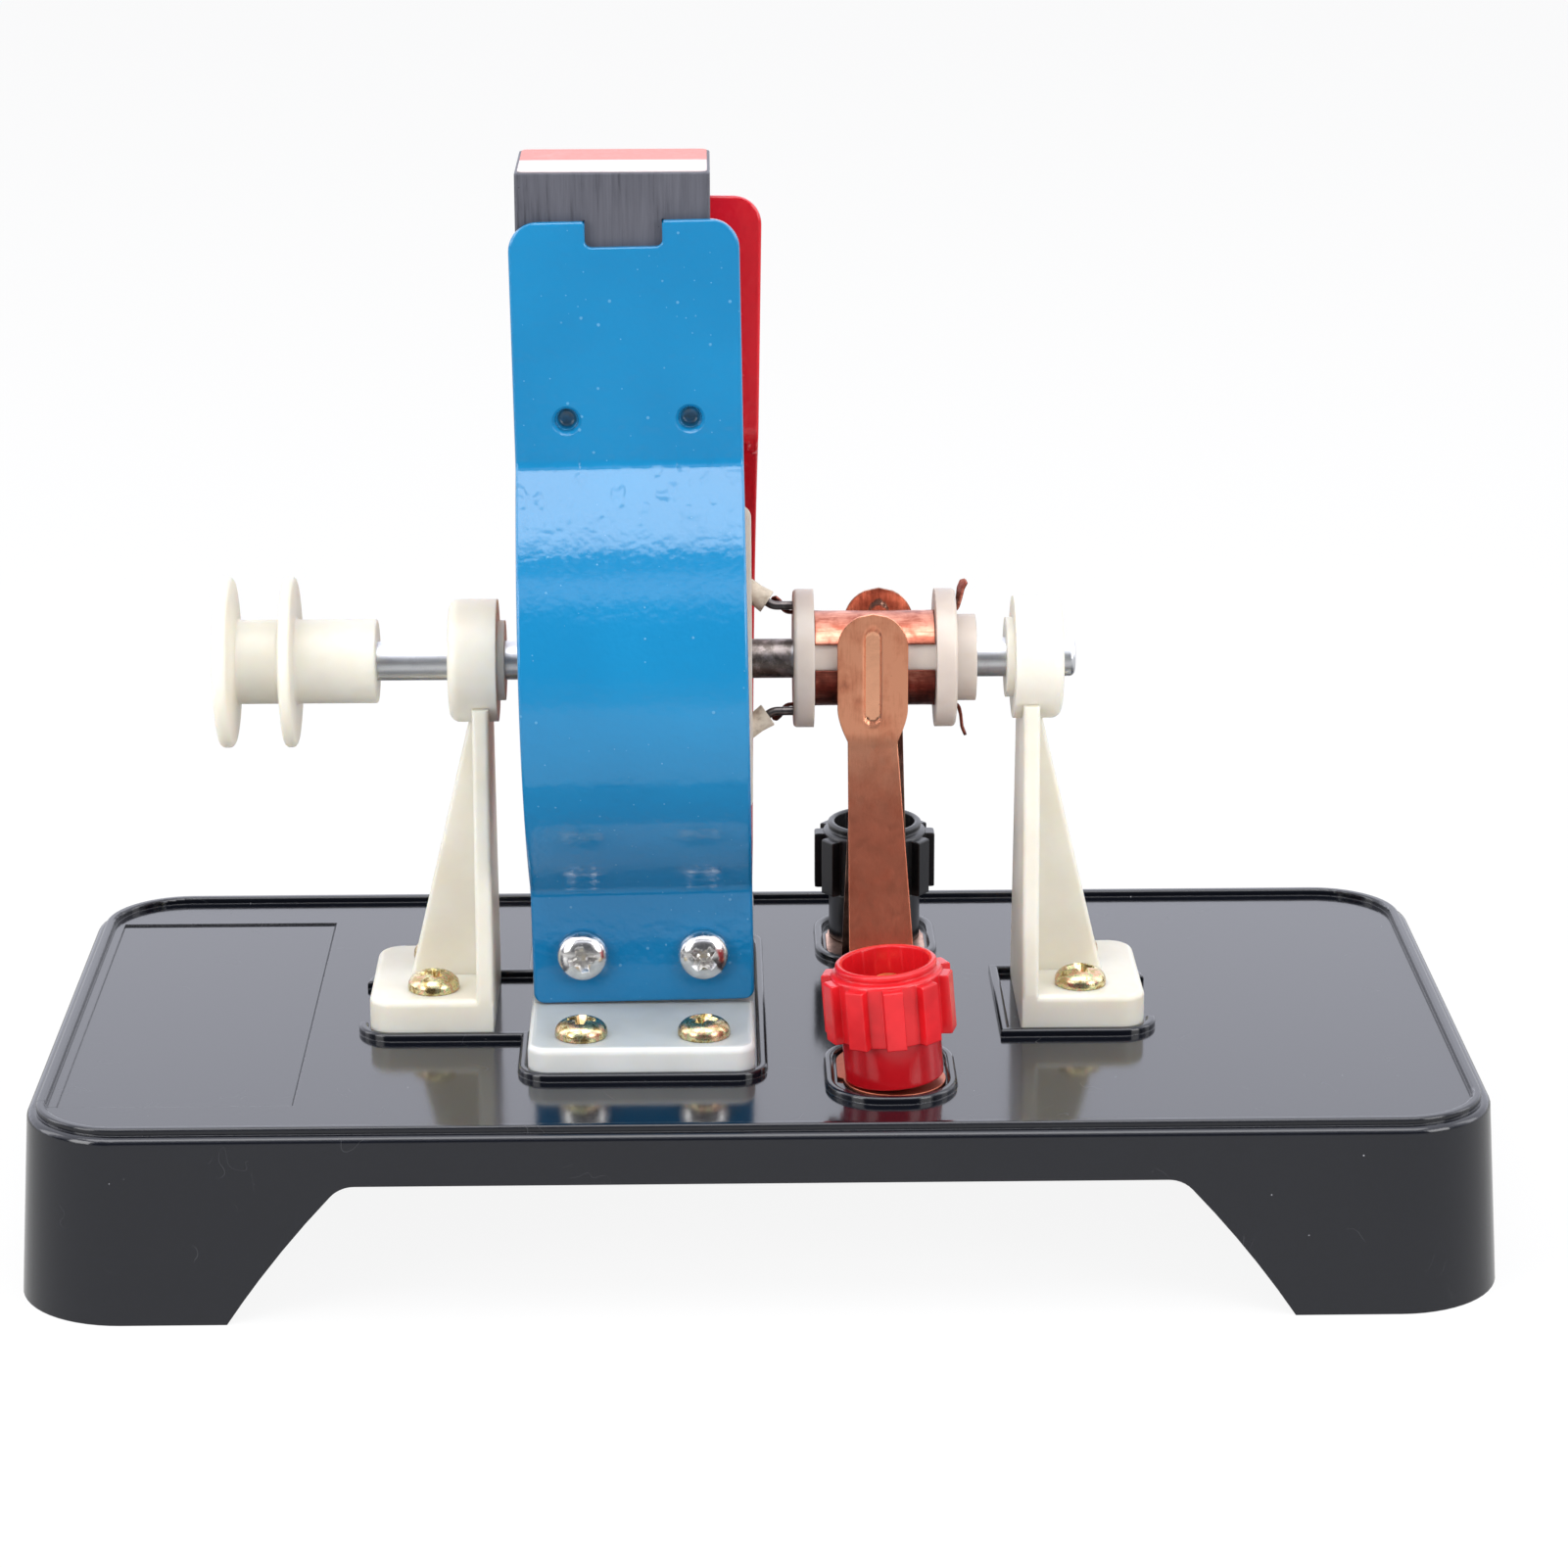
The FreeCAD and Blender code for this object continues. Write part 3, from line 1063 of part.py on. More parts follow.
# ---------------------------------------------------------------- all nodes
def all_nodes():
    """Every node's name and shape."""
    nodes = {
        "base_shell": base_shell(),
        "bracket_left": bracket_left(),
        "bracket_right": bracket_right(),
        "bracket_screws": Part.makeCompound(bracket_screws()),
        "field_foot_front": field_foot_front(),
        "field_foot_rear": mirrored_y(field_foot_front()),
        "field_foot_screws": Part.makeCompound(field_foot_screws()),
        "pole_plate_front": pole_plate(front_plate_lean),
        "pole_plate_rear": mirrored_y(pole_plate(rear_plate_lean)),
        "plate_screws": Part.makeCompound(plate_screws()),
        "magnet_block": magnet_block(),
        "magnet_label_front": magnet_label(-1),
        "magnet_label_rear": magnet_label(1),
        "shaft": shaft(),
        "pulley": pulley(),
        "coil_former": coil_former(),
        "coil_winding": coil_winding(),
        "commutator_spool": commutator_spool(),
        "brush_front": mirrored_y(brush_at_rear(front_brush_shift, front_pad_shift)),
        "brush_rear": brush_at_rear(rear_brush_shift, 0),
        "terminal_nuts": Part.makeCompound(terminal_nuts()),
        "lock_washers": Part.makeCompound(lock_washers()),
    }
    for name, shape in (("commutator_segment", commutator_segment()), ("lead_wire", lead_wire()),
                        ("lead_sleeve", lead_sleeve())):
        upper, lower = upper_and_lower(shape)
        nodes[name + "_upper"] = upper
        nodes[name + "_lower"] = lower
    half_step = 180.0 / knob_rib_count
    loose_washer = pressure_washer()
    loose_washer.translate(Vector(0, 0, rear_knob_rise))
    for name, rear, front in (("terminal_stud", terminal_stud(), terminal_stud()),
                              ("terminal_collar", terminal_collar(rear_collar_bottom),
                               terminal_collar(front_collar_bottom)),
                              ("pressure_washer", loose_washer, pressure_washer()),
                              ("terminal_knob", terminal_knob(0, rear_knob_rise),
                               terminal_knob(half_step - front_knob_turn, 0))):
        nodes[name + "_rear"] = rear
        nodes[name + "_front"] = leaned(mirrored_y(front))
    return nodes


os.makedirs("parts", exist_ok=True)
for node_name, node_shape in all_nodes().items():
    node_shape.exportStep("parts/" + node_name + ".step")
    print(node_name, node_shape.isValid(), len(node_shape.Solids), round(node_shape.Volume, 1))
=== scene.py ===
"""The demonstration electric motor, dressed for rendering round its CAD frame.

Shapes are drafted in millimetres in the frame's own axes: X along the shaft, -Y to the front, +Z up. A
finished mesh is in metres.
"""

import logging
import math
from dataclasses import dataclass, field
from enum import Enum
from typing import Any, Sequence, Union

import bmesh
import bpy
from mathutils import Matrix, Vector


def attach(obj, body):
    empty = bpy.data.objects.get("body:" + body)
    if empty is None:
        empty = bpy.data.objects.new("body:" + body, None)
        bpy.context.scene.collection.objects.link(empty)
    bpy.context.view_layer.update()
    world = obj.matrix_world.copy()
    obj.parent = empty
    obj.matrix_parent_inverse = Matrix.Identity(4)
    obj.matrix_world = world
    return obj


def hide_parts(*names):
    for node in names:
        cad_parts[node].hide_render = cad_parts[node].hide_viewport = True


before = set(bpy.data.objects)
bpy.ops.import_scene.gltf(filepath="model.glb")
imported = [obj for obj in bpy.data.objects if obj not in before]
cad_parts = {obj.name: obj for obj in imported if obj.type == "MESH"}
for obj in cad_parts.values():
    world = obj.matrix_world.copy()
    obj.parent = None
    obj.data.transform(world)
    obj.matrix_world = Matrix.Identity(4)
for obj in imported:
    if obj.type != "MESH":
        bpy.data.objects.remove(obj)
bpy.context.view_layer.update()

log = logging.getLogger("motor")

SHAFT_HEIGHT = 70.5
PANEL = 23.6
FIELD_X = -14.6
FIELD_WIDTH = 28.2
DIMPLE_SPACING = 15.2
DIMPLE_HEIGHT = 33.3
PLATE_SCREW_Z = PANEL + 10.7
TERMINAL_X = 16.3
TERMINAL_Y = 27.9
METRES = 0.001
ALONG_X = Matrix.Translation((0.0, 0.0, SHAFT_HEIGHT)) @ Matrix.Rotation(math.pi / 2, 4, "Y")

Point = tuple[float, float]
Colour = tuple[float, float, float]
Value = Union["Signal", float, int, Sequence[float]]


class Side(Enum):
    """Which side of the shaft a mirrored piece stands on."""

    FRONT = -1
    REAR = 1

    @property
    def word(self) -> str:
        """The side's name as the node names spell it."""
        return self.name.lower()


class End(Enum):
    """Above or below the shaft, before the rotor is turned to rest."""

    UPPER = 1
    LOWER = -1

    @property
    def word(self) -> str:
        """The end's name as the node names spell it."""
        return self.name.lower()


# ------------------------------------------------------------------------------------------------ shaders
class Signal:
    """An output socket that takes part in Python expressions."""

    def __init__(self, shader: "Shader", socket: bpy.types.NodeSocket) -> None:
        """Wraps a socket of a shader."""
        self.shader = shader
        self.socket = socket

    def math(self, operation: str, *values: Value) -> "Signal":
        """Adds one Math node.

        Args:
            operation: The Math node's operation.
            values: Its inputs, in order.

        Returns:
            The node's result.
        """
        node = self.shader.node("ShaderNodeMath", {"operation": operation}, dict(enumerate(values)))
        return Signal(self.shader, node.outputs[0])

    def __add__(self, other: Value) -> "Signal":
        """The sum."""
        return self.math("ADD", self, other)

    __radd__ = __add__

    def __sub__(self, other: Value) -> "Signal":
        """The difference."""
        return self.math("SUBTRACT", self, other)

    def __rsub__(self, other: Value) -> "Signal":
        """The difference, reflected."""
        return self.math("SUBTRACT", other, self)

    def __mul__(self, other: Value) -> "Signal":
        """The product."""
        return self.math("MULTIPLY", self, other)

    __rmul__ = __mul__

    def __truediv__(self, other: Value) -> "Signal":
        """The quotient."""
        return self.math("DIVIDE", self, other)

    def __rtruediv__(self, other: Value) -> "Signal":
        """The quotient, reflected."""
        return self.math("DIVIDE", other, self)

    def __gt__(self, other: Value) -> "Signal":
        """1 where this is the greater, else 0."""
        return self.math("GREATER_THAN", self, other)

    def __lt__(self, other: Value) -> "Signal":
        """1 where this is the lesser, else 0."""
        return self.math("LESS_THAN", self, other)

    def __abs__(self) -> "Signal":
        """The size without the sign."""
        return self.math("ABSOLUTE", self)

    def most(self, other: Value) -> "Signal":
        """The greater of the two."""
        return self.math("MAXIMUM", self, other)

    def fade(self, start: float, end: float) -> "Signal":
        """Goes smoothly from 0 at start to 1 at end.

        Args:
            start: The value that gives 0.
            end: The value that gives 1.

        Returns:
            The faded value.
        """
        low, high = (0.0, 1.0) if start < end else (1.0, 0.0)
        node = self.shader.node("ShaderNodeMapRange", {"interpolation_type": "SMOOTHSTEP"},
                                {"Value": self, "From Min": min(start, end), "From Max": max(start, end),
                                 "To Min": low, "To Max": high})
        return Signal(self.shader, node.outputs[0])


class Shader:
    """The node tree of a material or a world."""

    def __init__(self, owner: Union[bpy.types.Material, bpy.types.World]) -> None:
        """Empties the owner's node tree.

        Args:
            owner: The material or the world that the tree belongs to.
        """
        self.owner = owner
        owner.use_nodes = True
        self.tree = owner.node_tree
        self.tree.nodes.clear()

    def node(self, kind: str, settings: dict[str, Any], inputs: dict[Any, Value]) -> bpy.types.Node:
        """Adds a node.

        Args:
            kind: The node's type.
            settings: Its properties. The key stops holds a colour ramp's (place, colour) pairs.
            inputs: Values or signals for its sockets, by name or number.

        Returns:
            The new node.
        """
        made = self.tree.nodes.new(kind)
        for key, value in settings.items():
            if key == "stops":
                elements = made.color_ramp.elements
                while len(elements) < len(value):
                    elements.new(1.0)
                for element, (place, colour) in zip(elements, value):
                    element.position = place
                    element.color = (*colour, 1.0)
            else:
                setattr(made, key, value)
        for key, value in inputs.items():
            if isinstance(value, Signal):
                self.tree.links.new(value.socket, made.inputs[key])
            else:
                made.inputs[key].default_value = value
        return made

    def place(self, stretch: Sequence[float] = (1.0, 1.0, 1.0)) -> Signal:
        """The point on the piece, in millimetres, stretched along each axis.

        Args:
            stretch: How much each axis is multiplied by.

        Returns:
            The point.
        """
        spot = self.node("ShaderNodeTexCoord", {}, {}).outputs["Object"]
        scale = [part / METRES for part in stretch]
        made = self.node("ShaderNodeVectorMath", {"operation": "MULTIPLY"}, {0: Signal(self, spot), 1: scale})
        return Signal(self, made.outputs[0])

    def axis(self, number: int) -> Signal:
        """One coordinate of the point on the piece, in millimetres."""
        made = self.node("ShaderNodeSeparateXYZ", {}, {0: self.place()})
        return Signal(self, made.outputs[number])

    def noise(self, spot: Signal, size: float, detail: float = 3.0, rough: float = 0.5,
              bend: float = 0.0) -> Signal:
        """Smooth noise from 0 to 1.

        Args:
            spot: Where it is read.
            size: The size of its features, in millimetres.
            detail: How many finer layers it has.
            rough: How strong those are.
            bend: How far it is distorted.

        Returns:
            The noise.
        """
        made = self.node("ShaderNodeTexNoise", {}, {"Vector": spot, "Scale": 1.0 / size, "Detail": detail,
                                                    "Roughness": rough, "Distortion": bend})
        return Signal(self, made.outputs[0])

    def specks(self, spot: Signal, spacing: float, radius: float, share: float) -> Signal:
        """Scattered small spots.

        Args:
            spot: Where they are read.
            spacing: The usual distance between places, in millimetres.
            radius: A spot's radius, in millimetres.
            share: The share of places that have a spot.

        Returns:
            1 in a spot, 0 elsewhere.
        """
        cells = self.node("ShaderNodeTexVoronoi", {}, {"Vector": spot, "Scale": 1.0 / spacing})
        pick = self.node("ShaderNodeSeparateColor", {}, {0: Signal(self, cells.outputs["Color"])})
        chosen = Signal(self, pick.outputs[0]) < share
        size = Signal(self, pick.outputs[1]) * 0.7 + 0.3
        reach = radius / spacing
        near = (Signal(self, cells.outputs["Distance"]) / size).fade(reach, reach * 0.6)
        return near * chosen

    def hairlines(self, spot: Signal, size: float, width: float, share: float) -> Signal:
        """Short fine scratches.

        Args:
            spot: Where they are read.
            size: How far apart they run, in millimetres.
            width: Their width as a share of the noise's range.
            share: Roughly the share of the surface that has them.

        Returns:
            1 on a scratch, 0 elsewhere.
        """
        level = self.noise(spot, size, 1.0, 0.4, 1.5)
        line = abs(level - 0.5).fade(width, width * 0.3)
        threshold = 0.5 + 0.2 * (1 - share)
        return line * self.noise(spot, size * 0.6, 0.0).fade(threshold, threshold + 0.1)

    def mix(self, share: Value, first: Value, second: Value, blend: str = "MIX") -> Signal:
        """Blends two colours.

        Args:
            share: How much of the second.
            first: A colour.
            second: A colour.
            blend: The way they are blended.

        Returns:
            The blended colour.
        """
        colours = [value if isinstance(value, Signal) else (*value, 1.0) for value in (first, second)]
        made = self.node("ShaderNodeMix", {"data_type": "RGBA", "blend_type": blend},
                         {0: share, 6: colours[0], 7: colours[1]})
        return Signal(self, made.outputs[2])

    def ramp(self, value: Signal, stops: Sequence[tuple[float, Colour]]) -> Signal:
        """A colour ramp.

        Args:
            value: Where on the ramp, from 0 to 1.
            stops: Places and colours.

        Returns:
            The colour.
        """
        made = self.node("ShaderNodeValToRGB", {"stops": list(stops)}, {0: value})
        return Signal(self, made.outputs[0])

    def groove(self, x: float, z: float, half_width: float, half_length: float, soft: float = 0.25) -> Signal:
        """1 inside an upright round-ended slot seen along Y, else 0.

        Args:
            x: The slot's middle along the shaft.
            z: The slot's middle height.
            half_width: Half its width.
            half_length: Half its length.
            soft: How wide its edge is.

        Returns:
            The share.
        """
        across = self.axis(0) - x
        along = (abs(self.axis(2) - z) - (half_length - half_width)).most(0.0)
        return (across * across + along * along).fade(half_width ** 2, (half_width - soft) ** 2)

    def soft_edges(self, radius: float) -> Signal:
        """The normal with edges rounded by a radius in millimetres."""
        made = self.node("ShaderNodeBevel", {"samples": 4}, {"Radius": radius * METRES})
        return Signal(self, made.outputs[0])

    def bump(self, height: Signal, depth: float, normal: Union[Signal, None] = None) -> Signal:
        """Relief from a height.

        Args:
            height: The height, from 0 to 1.
            depth: The relief's full depth, in millimetres.
            normal: The normal that it starts from.

        Returns:
            The new normal.
        """
        inputs: dict[Any, Value] = {"Height": height, "Distance": depth * METRES, "Strength": 1.0}
        if normal is not None:
            inputs["Normal"] = normal
        return Signal(self, self.node("ShaderNodeBump", {}, inputs).outputs[0])

    def ray(self, kind: str) -> Signal:
        """1 for rays of one kind, else 0."""
        return Signal(self, self.node("ShaderNodeLightPath", {}, {}).outputs[kind])

    def shader_of(self, kind: str, inputs: dict[Any, Value]) -> Signal:
        """The output of one shader node."""
        return Signal(self, self.node(kind, {}, inputs).outputs[0])

    def end(self, kind: str, last: Signal) -> None:
        """Joins the last shader to the tree's output."""
        self.node(kind, {}, {"Surface": last})

    def surface(self, inputs: dict[str, Value]) -> bpy.types.Material:
        """Ends the tree in one Principled surface.

        Args:
            inputs: The surface's sockets. A plain colour has three parts.

        Returns:
            The finished material.
        """
        sockets = {key: (*value, 1.0) if key.endswith("Color") and not isinstance(value, Signal) else value
                   for key, value in inputs.items()}
        self.end("ShaderNodeOutputMaterial", self.shader_of("ShaderNodeBsdfPrincipled", sockets))
        return self.owner


@dataclass(frozen=True)
class Finish:
    """A surface finish. Its material is made once."""

    name: str

    def material(self) -> bpy.types.Material:
        """The finish's material."""
        return bpy.data.materials.get(self.name) or self.make(Shader(bpy.data.materials.new(self.name)))

    def make(self, shader: Shader) -> bpy.types.Material:
        """Builds the material.

        Args:
            shader: The empty shader.

        Returns:
            The material.
        """
        raise NotImplementedError


@dataclass(frozen=True)
class BlackMoulding(Finish):
    """The base's glossy black plastic, with dust, hairline scratches and the edge of the bare recess."""

    colour: Colour = (0.0035, 0.0042, 0.0072)
    cloudy: Colour = (0.007, 0.008, 0.0125)
    dust: Colour = (0.42, 0.42, 0.44)
    recess_x: float = -57.4
    recess_y: Point = (-35.0, 35.0)
    recess_z: float = PANEL - 0.3
    line_inset: float = 0.12
    line_fade: Point = (0.17, 0.08)

    def make(self, shader: Shader) -> bpy.types.Material:
        """Builds the material.

        Args:
            shader: The empty shader.

        Returns:
            The material.
        """
        spot = shader.place()
        cloud = shader.noise(spot, 22.0, 4.0, 0.6)
        fine = shader.noise(spot, 0.9, 2.0)
        dust = shader.specks(spot, 2.2, 0.12, 0.22)
        scratch = shader.hairlines(spot, 9.0, 0.0035, 0.25)
        marks = dust * 0.75 + scratch * 0.07
        tint = shader.mix(cloud * 0.5, self.colour, self.cloudy)
        x, y = shader.axis(0), shader.axis(1)
        front, back = self.recess_y
        inside = (y > front) * (y < back) * (x < self.recess_x) * (shader.axis(2) > self.recess_z)
        right_line = abs(x - self.recess_x + self.line_inset).fade(*self.line_fade)
        front_line = abs(y - front - self.line_inset).fade(*self.line_fade)
        outline = right_line.most(front_line * 0.5) * inside
        return shader.surface({
            "Base Color": shader.mix(marks, tint, self.dust),
            "Roughness": 0.075 + cloud * 0.06 + fine * 0.02 + dust * 0.4 + scratch * 0.2 + outline * 0.45,
            "IOR": 1.56,
            "Normal": shader.bump(fine * 0.3 + dust, 0.012, shader.soft_edges(0.25)),
        })


@dataclass(frozen=True)
class MouldedPlastic(Finish):
    """A light-coloured moulded plastic that lets a little light through, with painted shade on faces above a
    height.
    """

    colour: Colour = (0.755, 0.73, 0.645)
    shade: Colour = (0.70, 0.665, 0.565)
    glow: float = 0.5
    rough: float = 0.34
    edge: float = 0.3
    # The dirt colour serves both the dark specks and the painted shade on the flat tops.
    dirt_and_shade: Colour = (0.17, 0.21, 0.22)
    top_shade: float = 0.0
    top_shade_from: float = PANEL + 3.75
    top_shade_fade: float = 0.12

    def make(self, shader: Shader) -> bpy.types.Material:
        """Builds the material.

        Args:
            shader: The empty shader.

        Returns:
            The material.
        """
        spot = shader.place()
        cloud = shader.noise(spot, 9.0, 3.0, 0.55)
        flow = shader.noise(shader.place((1.0, 1.0, 0.25)), 3.0, 2.0)
        grain = shader.noise(spot, 0.35, 2.0)
        dots = shader.specks(spot, 5.5, 0.22, 0.06)
        body = shader.mix(cloud.fade(0.3, 0.75), self.colour, self.shade)
        # Painted shade: faces above a set height are darkened, where the pole plate shades the feet's flat
        # tops.
        flat = shader.axis(2).fade(self.top_shade_from, self.top_shade_from + self.top_shade_fade) * self.top_shade
        return shader.surface({
            "Base Color": shader.mix(dots * 0.35 + flat * (0.8 + cloud * 0.4), body, self.dirt_and_shade),
            "Roughness": self.rough + cloud * 0.1 + grain * 0.05,
            "Subsurface Weight": self.glow,
            "Subsurface Radius": (1.0, 0.72, 0.42),
            "Subsurface Scale": 0.0035,
            "Specular IOR Level": 0.45,
            "Normal": shader.bump(grain * 0.35 + flow * 0.65, 0.02, shader.soft_edges(self.edge)),
        })


@dataclass(frozen=True)
class GlossPlastic(Finish):
    """The terminals' glossy plastic."""

    colour: Colour = (0.70, 0.012, 0.018)
    deep: Colour = (0.52, 0.006, 0.010)
    dust: Colour = (0.55, 0.5, 0.48)
    glow: float = 0.12
    rough: float = 0.2
    edge: float = 0.18

    def make(self, shader: Shader) -> bpy.types.Material:
        """Builds the material.

        Args:
            shader: The empty shader.

        Returns:
            The material.
        """
        spot = shader.place()
        cloud = shader.noise(spot, 5.0, 3.0, 0.5)
        ripple = shader.noise(spot, 1.1, 2.0)
        dust = shader.specks(spot, 2.6, 0.11, 0.07)
        body = shader.mix(cloud.fade(0.3, 0.8), self.colour, self.deep)
        return shader.surface({
            "Base Color": shader.mix(dust * 0.5, body, self.dust),
            "Roughness": self.rough + cloud * 0.1 + dust * 0.3,
            "Subsurface Weight": self.glow,
            "Subsurface Radius": (1.0, 0.25, 0.2),
            "Subsurface Scale": 0.0012,
            "Normal": shader.bump(ripple * 0.8 + dust * 0.2, 0.02, shader.soft_edges(self.edge)),
        })


@dataclass(frozen=True)
class Enamel(Finish):
    """Thick glossy baked enamel with orange peel, small nibs, runs above the upper bend, and painted shade
    low down and in the dimples.
    """

    colour: Colour = (0.006, 0.196, 0.405)
    thin: Colour = (0.005, 0.172, 0.365)
    nib: Colour = (0.30, 0.62, 0.82)
    rough: float = 0.12
    coat: float = 0.42
    # The low colour multiplies the lower part of the plate: painted shade.
    low: Colour = (0.6, 0.86, 0.92)
    lower_shade_fade: Point = (66.0, 46.0)
    # The colour painted into the dimples' hollows is painted shade.
    dimple_shade: Colour = (0.03, 0.055, 0.065)
    dimple_radius: float = 1.3
    dimple_shift: float = -1.0
    drip_top: Point = (103.0, 97.0)
    drip_bottom: Point = (90.0, 95.0)
    relief: float = 0.085

    def make(self, shader: Shader) -> bpy.types.Material:
        """Builds the material.

        Args:
            shader: The empty shader.

        Returns:
            The material.
        """
        spot = shader.place()
        broad = shader.noise(spot, 26.0, 2.0)
        peel = shader.noise(spot, 2.3, 1.5, 0.4)
        ripple = shader.noise(spot, 0.8, 1.0, 0.4)
        nibs = shader.specks(spot, 2.0, 0.25, 0.5)
        grit = shader.specks(spot, 1.1, 0.12, 0.35)
        height = shader.axis(2)
        runs = shader.noise(shader.place((1.0, 1.0, 0.1)), 1.7, 1.0, 0.4).fade(0.5, 0.8)
        drips = runs * height.fade(*self.drip_top) * height.fade(*self.drip_bottom)
        body = shader.mix(broad.fade(0.3, 0.7), self.colour, self.thin)
        # Painted shade: the plate is darker towards its bottom, which faces down.
        body = shader.mix(height.fade(*self.lower_shade_fade), body, shader.mix(1.0, body, self.low, "MULTIPLY"))
        # Painted shade in the hollows of the dimples.
        left, right = (shader.groove(FIELD_X + self.dimple_shift + sign * DIMPLE_SPACING / 2,
                                     SHAFT_HEIGHT + DIMPLE_HEIGHT, self.dimple_radius, self.dimple_radius)
                       for sign in (-1, 1))
        body = shader.mix(left.most(right) * (ripple + 0.15), body, self.dimple_shade)
        texture = peel * 1.1 + ripple * 0.55 + nibs * 0.4 + drips * 2.0
        return shader.surface({
            "Base Color": shader.mix(nibs * 0.22 + grit * 0.22, body, self.nib),
            "Roughness": self.rough + ripple * 0.08 + grit * 0.2,
            "Specular IOR Level": 0.4,
            "Coat Weight": self.coat + broad * 0.16,
            "Coat Roughness": 0.08,
            "Normal": shader.bump(texture, self.relief, shader.soft_edges(0.25)),
        })


@dataclass(frozen=True)
class GroundFerrite(Finish):
    """A dark ceramic magnet, ground with upright lines."""

    colour: Colour = (0.078, 0.079, 0.096)
    dark: Colour = (0.030, 0.030, 0.038)
    light: Colour = (0.115, 0.116, 0.138)
    pit: Colour = (0.03, 0.03, 0.034)

    def make(self, shader: Shader) -> bpy.types.Material:
        """Builds the material.

        Args:
            shader: The empty shader.

        Returns:
            The material.
        """
        lines = shader.noise(shader.place((1.0, 1.0, 0.035)), 0.55, 5.0, 0.75)
        broad = shader.noise(shader.place((1.0, 1.0, 0.14)), 3.4, 4.0, 0.6)
        pits = shader.specks(shader.place(), 1.7, 0.16, 0.2)
        body = shader.ramp(lines * 0.55 + broad * 0.45,
                           [(0.34, self.dark), (0.46, self.colour), (0.70, self.light)])
        return shader.surface({
            "Base Color": shader.mix(pits * 0.6, body, self.pit),
            "Metallic": 0.12,
            "Roughness": 0.4 + lines * 0.2 + pits * 0.3,
            "Normal": shader.bump(lines * 0.7 - pits, 0.03, shader.soft_edges(0.2)),
        })


@dataclass(frozen=True)
class LabelStock(Finish):
    """A bare paper label with worn edges."""

    colour: Colour = (0.74, 0.64, 0.635)
    worn: Colour = (0.52, 0.49, 0.50)

    def make(self, shader: Shader) -> bpy.types.Material:
        """Builds the material.

        Args:
            shader: The empty shader.

        Returns:
            The material.
        """
        spot = shader.place()
        cloud = shader.noise(spot, 4.0, 5.0, 0.65)
        fibre = shader.noise(shader.place((0.4, 1.0, 1.0)), 0.3, 3.0)
        rub = shader.specks(spot, 1.6, 0.35, 0.12)
        return shader.surface({
            "Base Color": shader.mix(cloud.fade(0.5, 0.8) * 0.55 + rub * 0.4, self.colour, self.worn),
            "Roughness": 0.42 + fibre * 0.25,
            "Normal": shader.bump(fibre, 0.02),
        })


@dataclass(frozen=True)
class DrawnSteel(Finish):
    """A bright drawn shaft, with a dark stretch where flux has tarnished it."""

    colour: Colour = (0.72, 0.735, 0.76)
    cloudy: Colour = (0.40, 0.41, 0.44)
    stain: Colour = (0.16, 0.135, 0.12)
    stain_worn: Colour = (0.38, 0.33, 0.31)
    stain_from: float = -1.5
    stain_to: float = 5.2
    stain_fade: float = 0.8

    def make(self, shader: Shader) -> bpy.types.Material:
        """Builds the material.

        Args:
            shader: The empty shader.

        Returns:
            The material.
        """
        drawn = shader.noise(shader.place((0.03, 1.0, 1.0)), 0.28, 3.0, 0.6)
        rings = shader.noise(shader.place((1.0, 0.05, 0.05)), 0.5, 2.0)
        blotch = shader.noise(shader.place(), 1.5, 4.0, 0.65)
        along = shader.axis(0) + blotch * 1.6
        stained = (along.fade(self.stain_from, self.stain_from + self.stain_fade)
                   * along.fade(self.stain_to + self.stain_fade, self.stain_to))
        clean = shader.mix(blotch.fade(0.5, 0.8) * 0.35, self.colour, self.cloudy)
        tarnished = shader.mix(blotch.fade(0.4, 0.62), self.stain, self.stain_worn)
        return shader.surface({
            "Base Color": shader.mix(stained, clean, tarnished),
            "Metallic": 1.0,
            "Roughness": 0.26 + drawn * 0.12 + blotch * 0.08 + stained * 0.08,
            "Normal": shader.bump(drawn * 0.6 + rings * 0.4, 0.01),
        })


@dataclass(frozen=True)
class Plating(Finish):
    """A metal's skin: yellow zinc with its play of colours, or a plain ramp for another metal."""

    stops: tuple[tuple[float, Colour], ...] = (
        (0.28, (0.34, 0.24, 0.10)), (0.42, (0.72, 0.62, 0.34)), (0.50, (0.36, 0.44, 0.24)),
        (0.58, (0.70, 0.40, 0.28)), (0.72, (0.44, 0.34, 0.16)))
    rubbed: Colour = (0.30, 0.29, 0.27)
    rough: float = 0.2

    def make(self, shader: Shader) -> bpy.types.Material:
        """Builds the material.

        Args:
            shader: The empty shader.

        Returns:
            The material.
        """
        spot = shader.place()
        play = (shader.noise(spot, 1.3, 2.0, 0.5, 0.6) - 0.5) * 1.6 + 0.5
        fine = shader.noise(spot, 0.3, 3.0, 0.6)
        rub = shader.noise(spot, 0.8, 4.0, 0.7)
        return shader.surface({
            "Base Color": shader.mix(rub.fade(0.62, 0.8) * 0.6, shader.ramp(play, self.stops), self.rubbed),
            "Metallic": 1.0,
            "Roughness": self.rough + fine * 0.14 + rub.fade(0.5, 0.8) * 0.15,
            "Normal": shader.bump(fine, 0.008, shader.soft_edges(0.1)),
        })


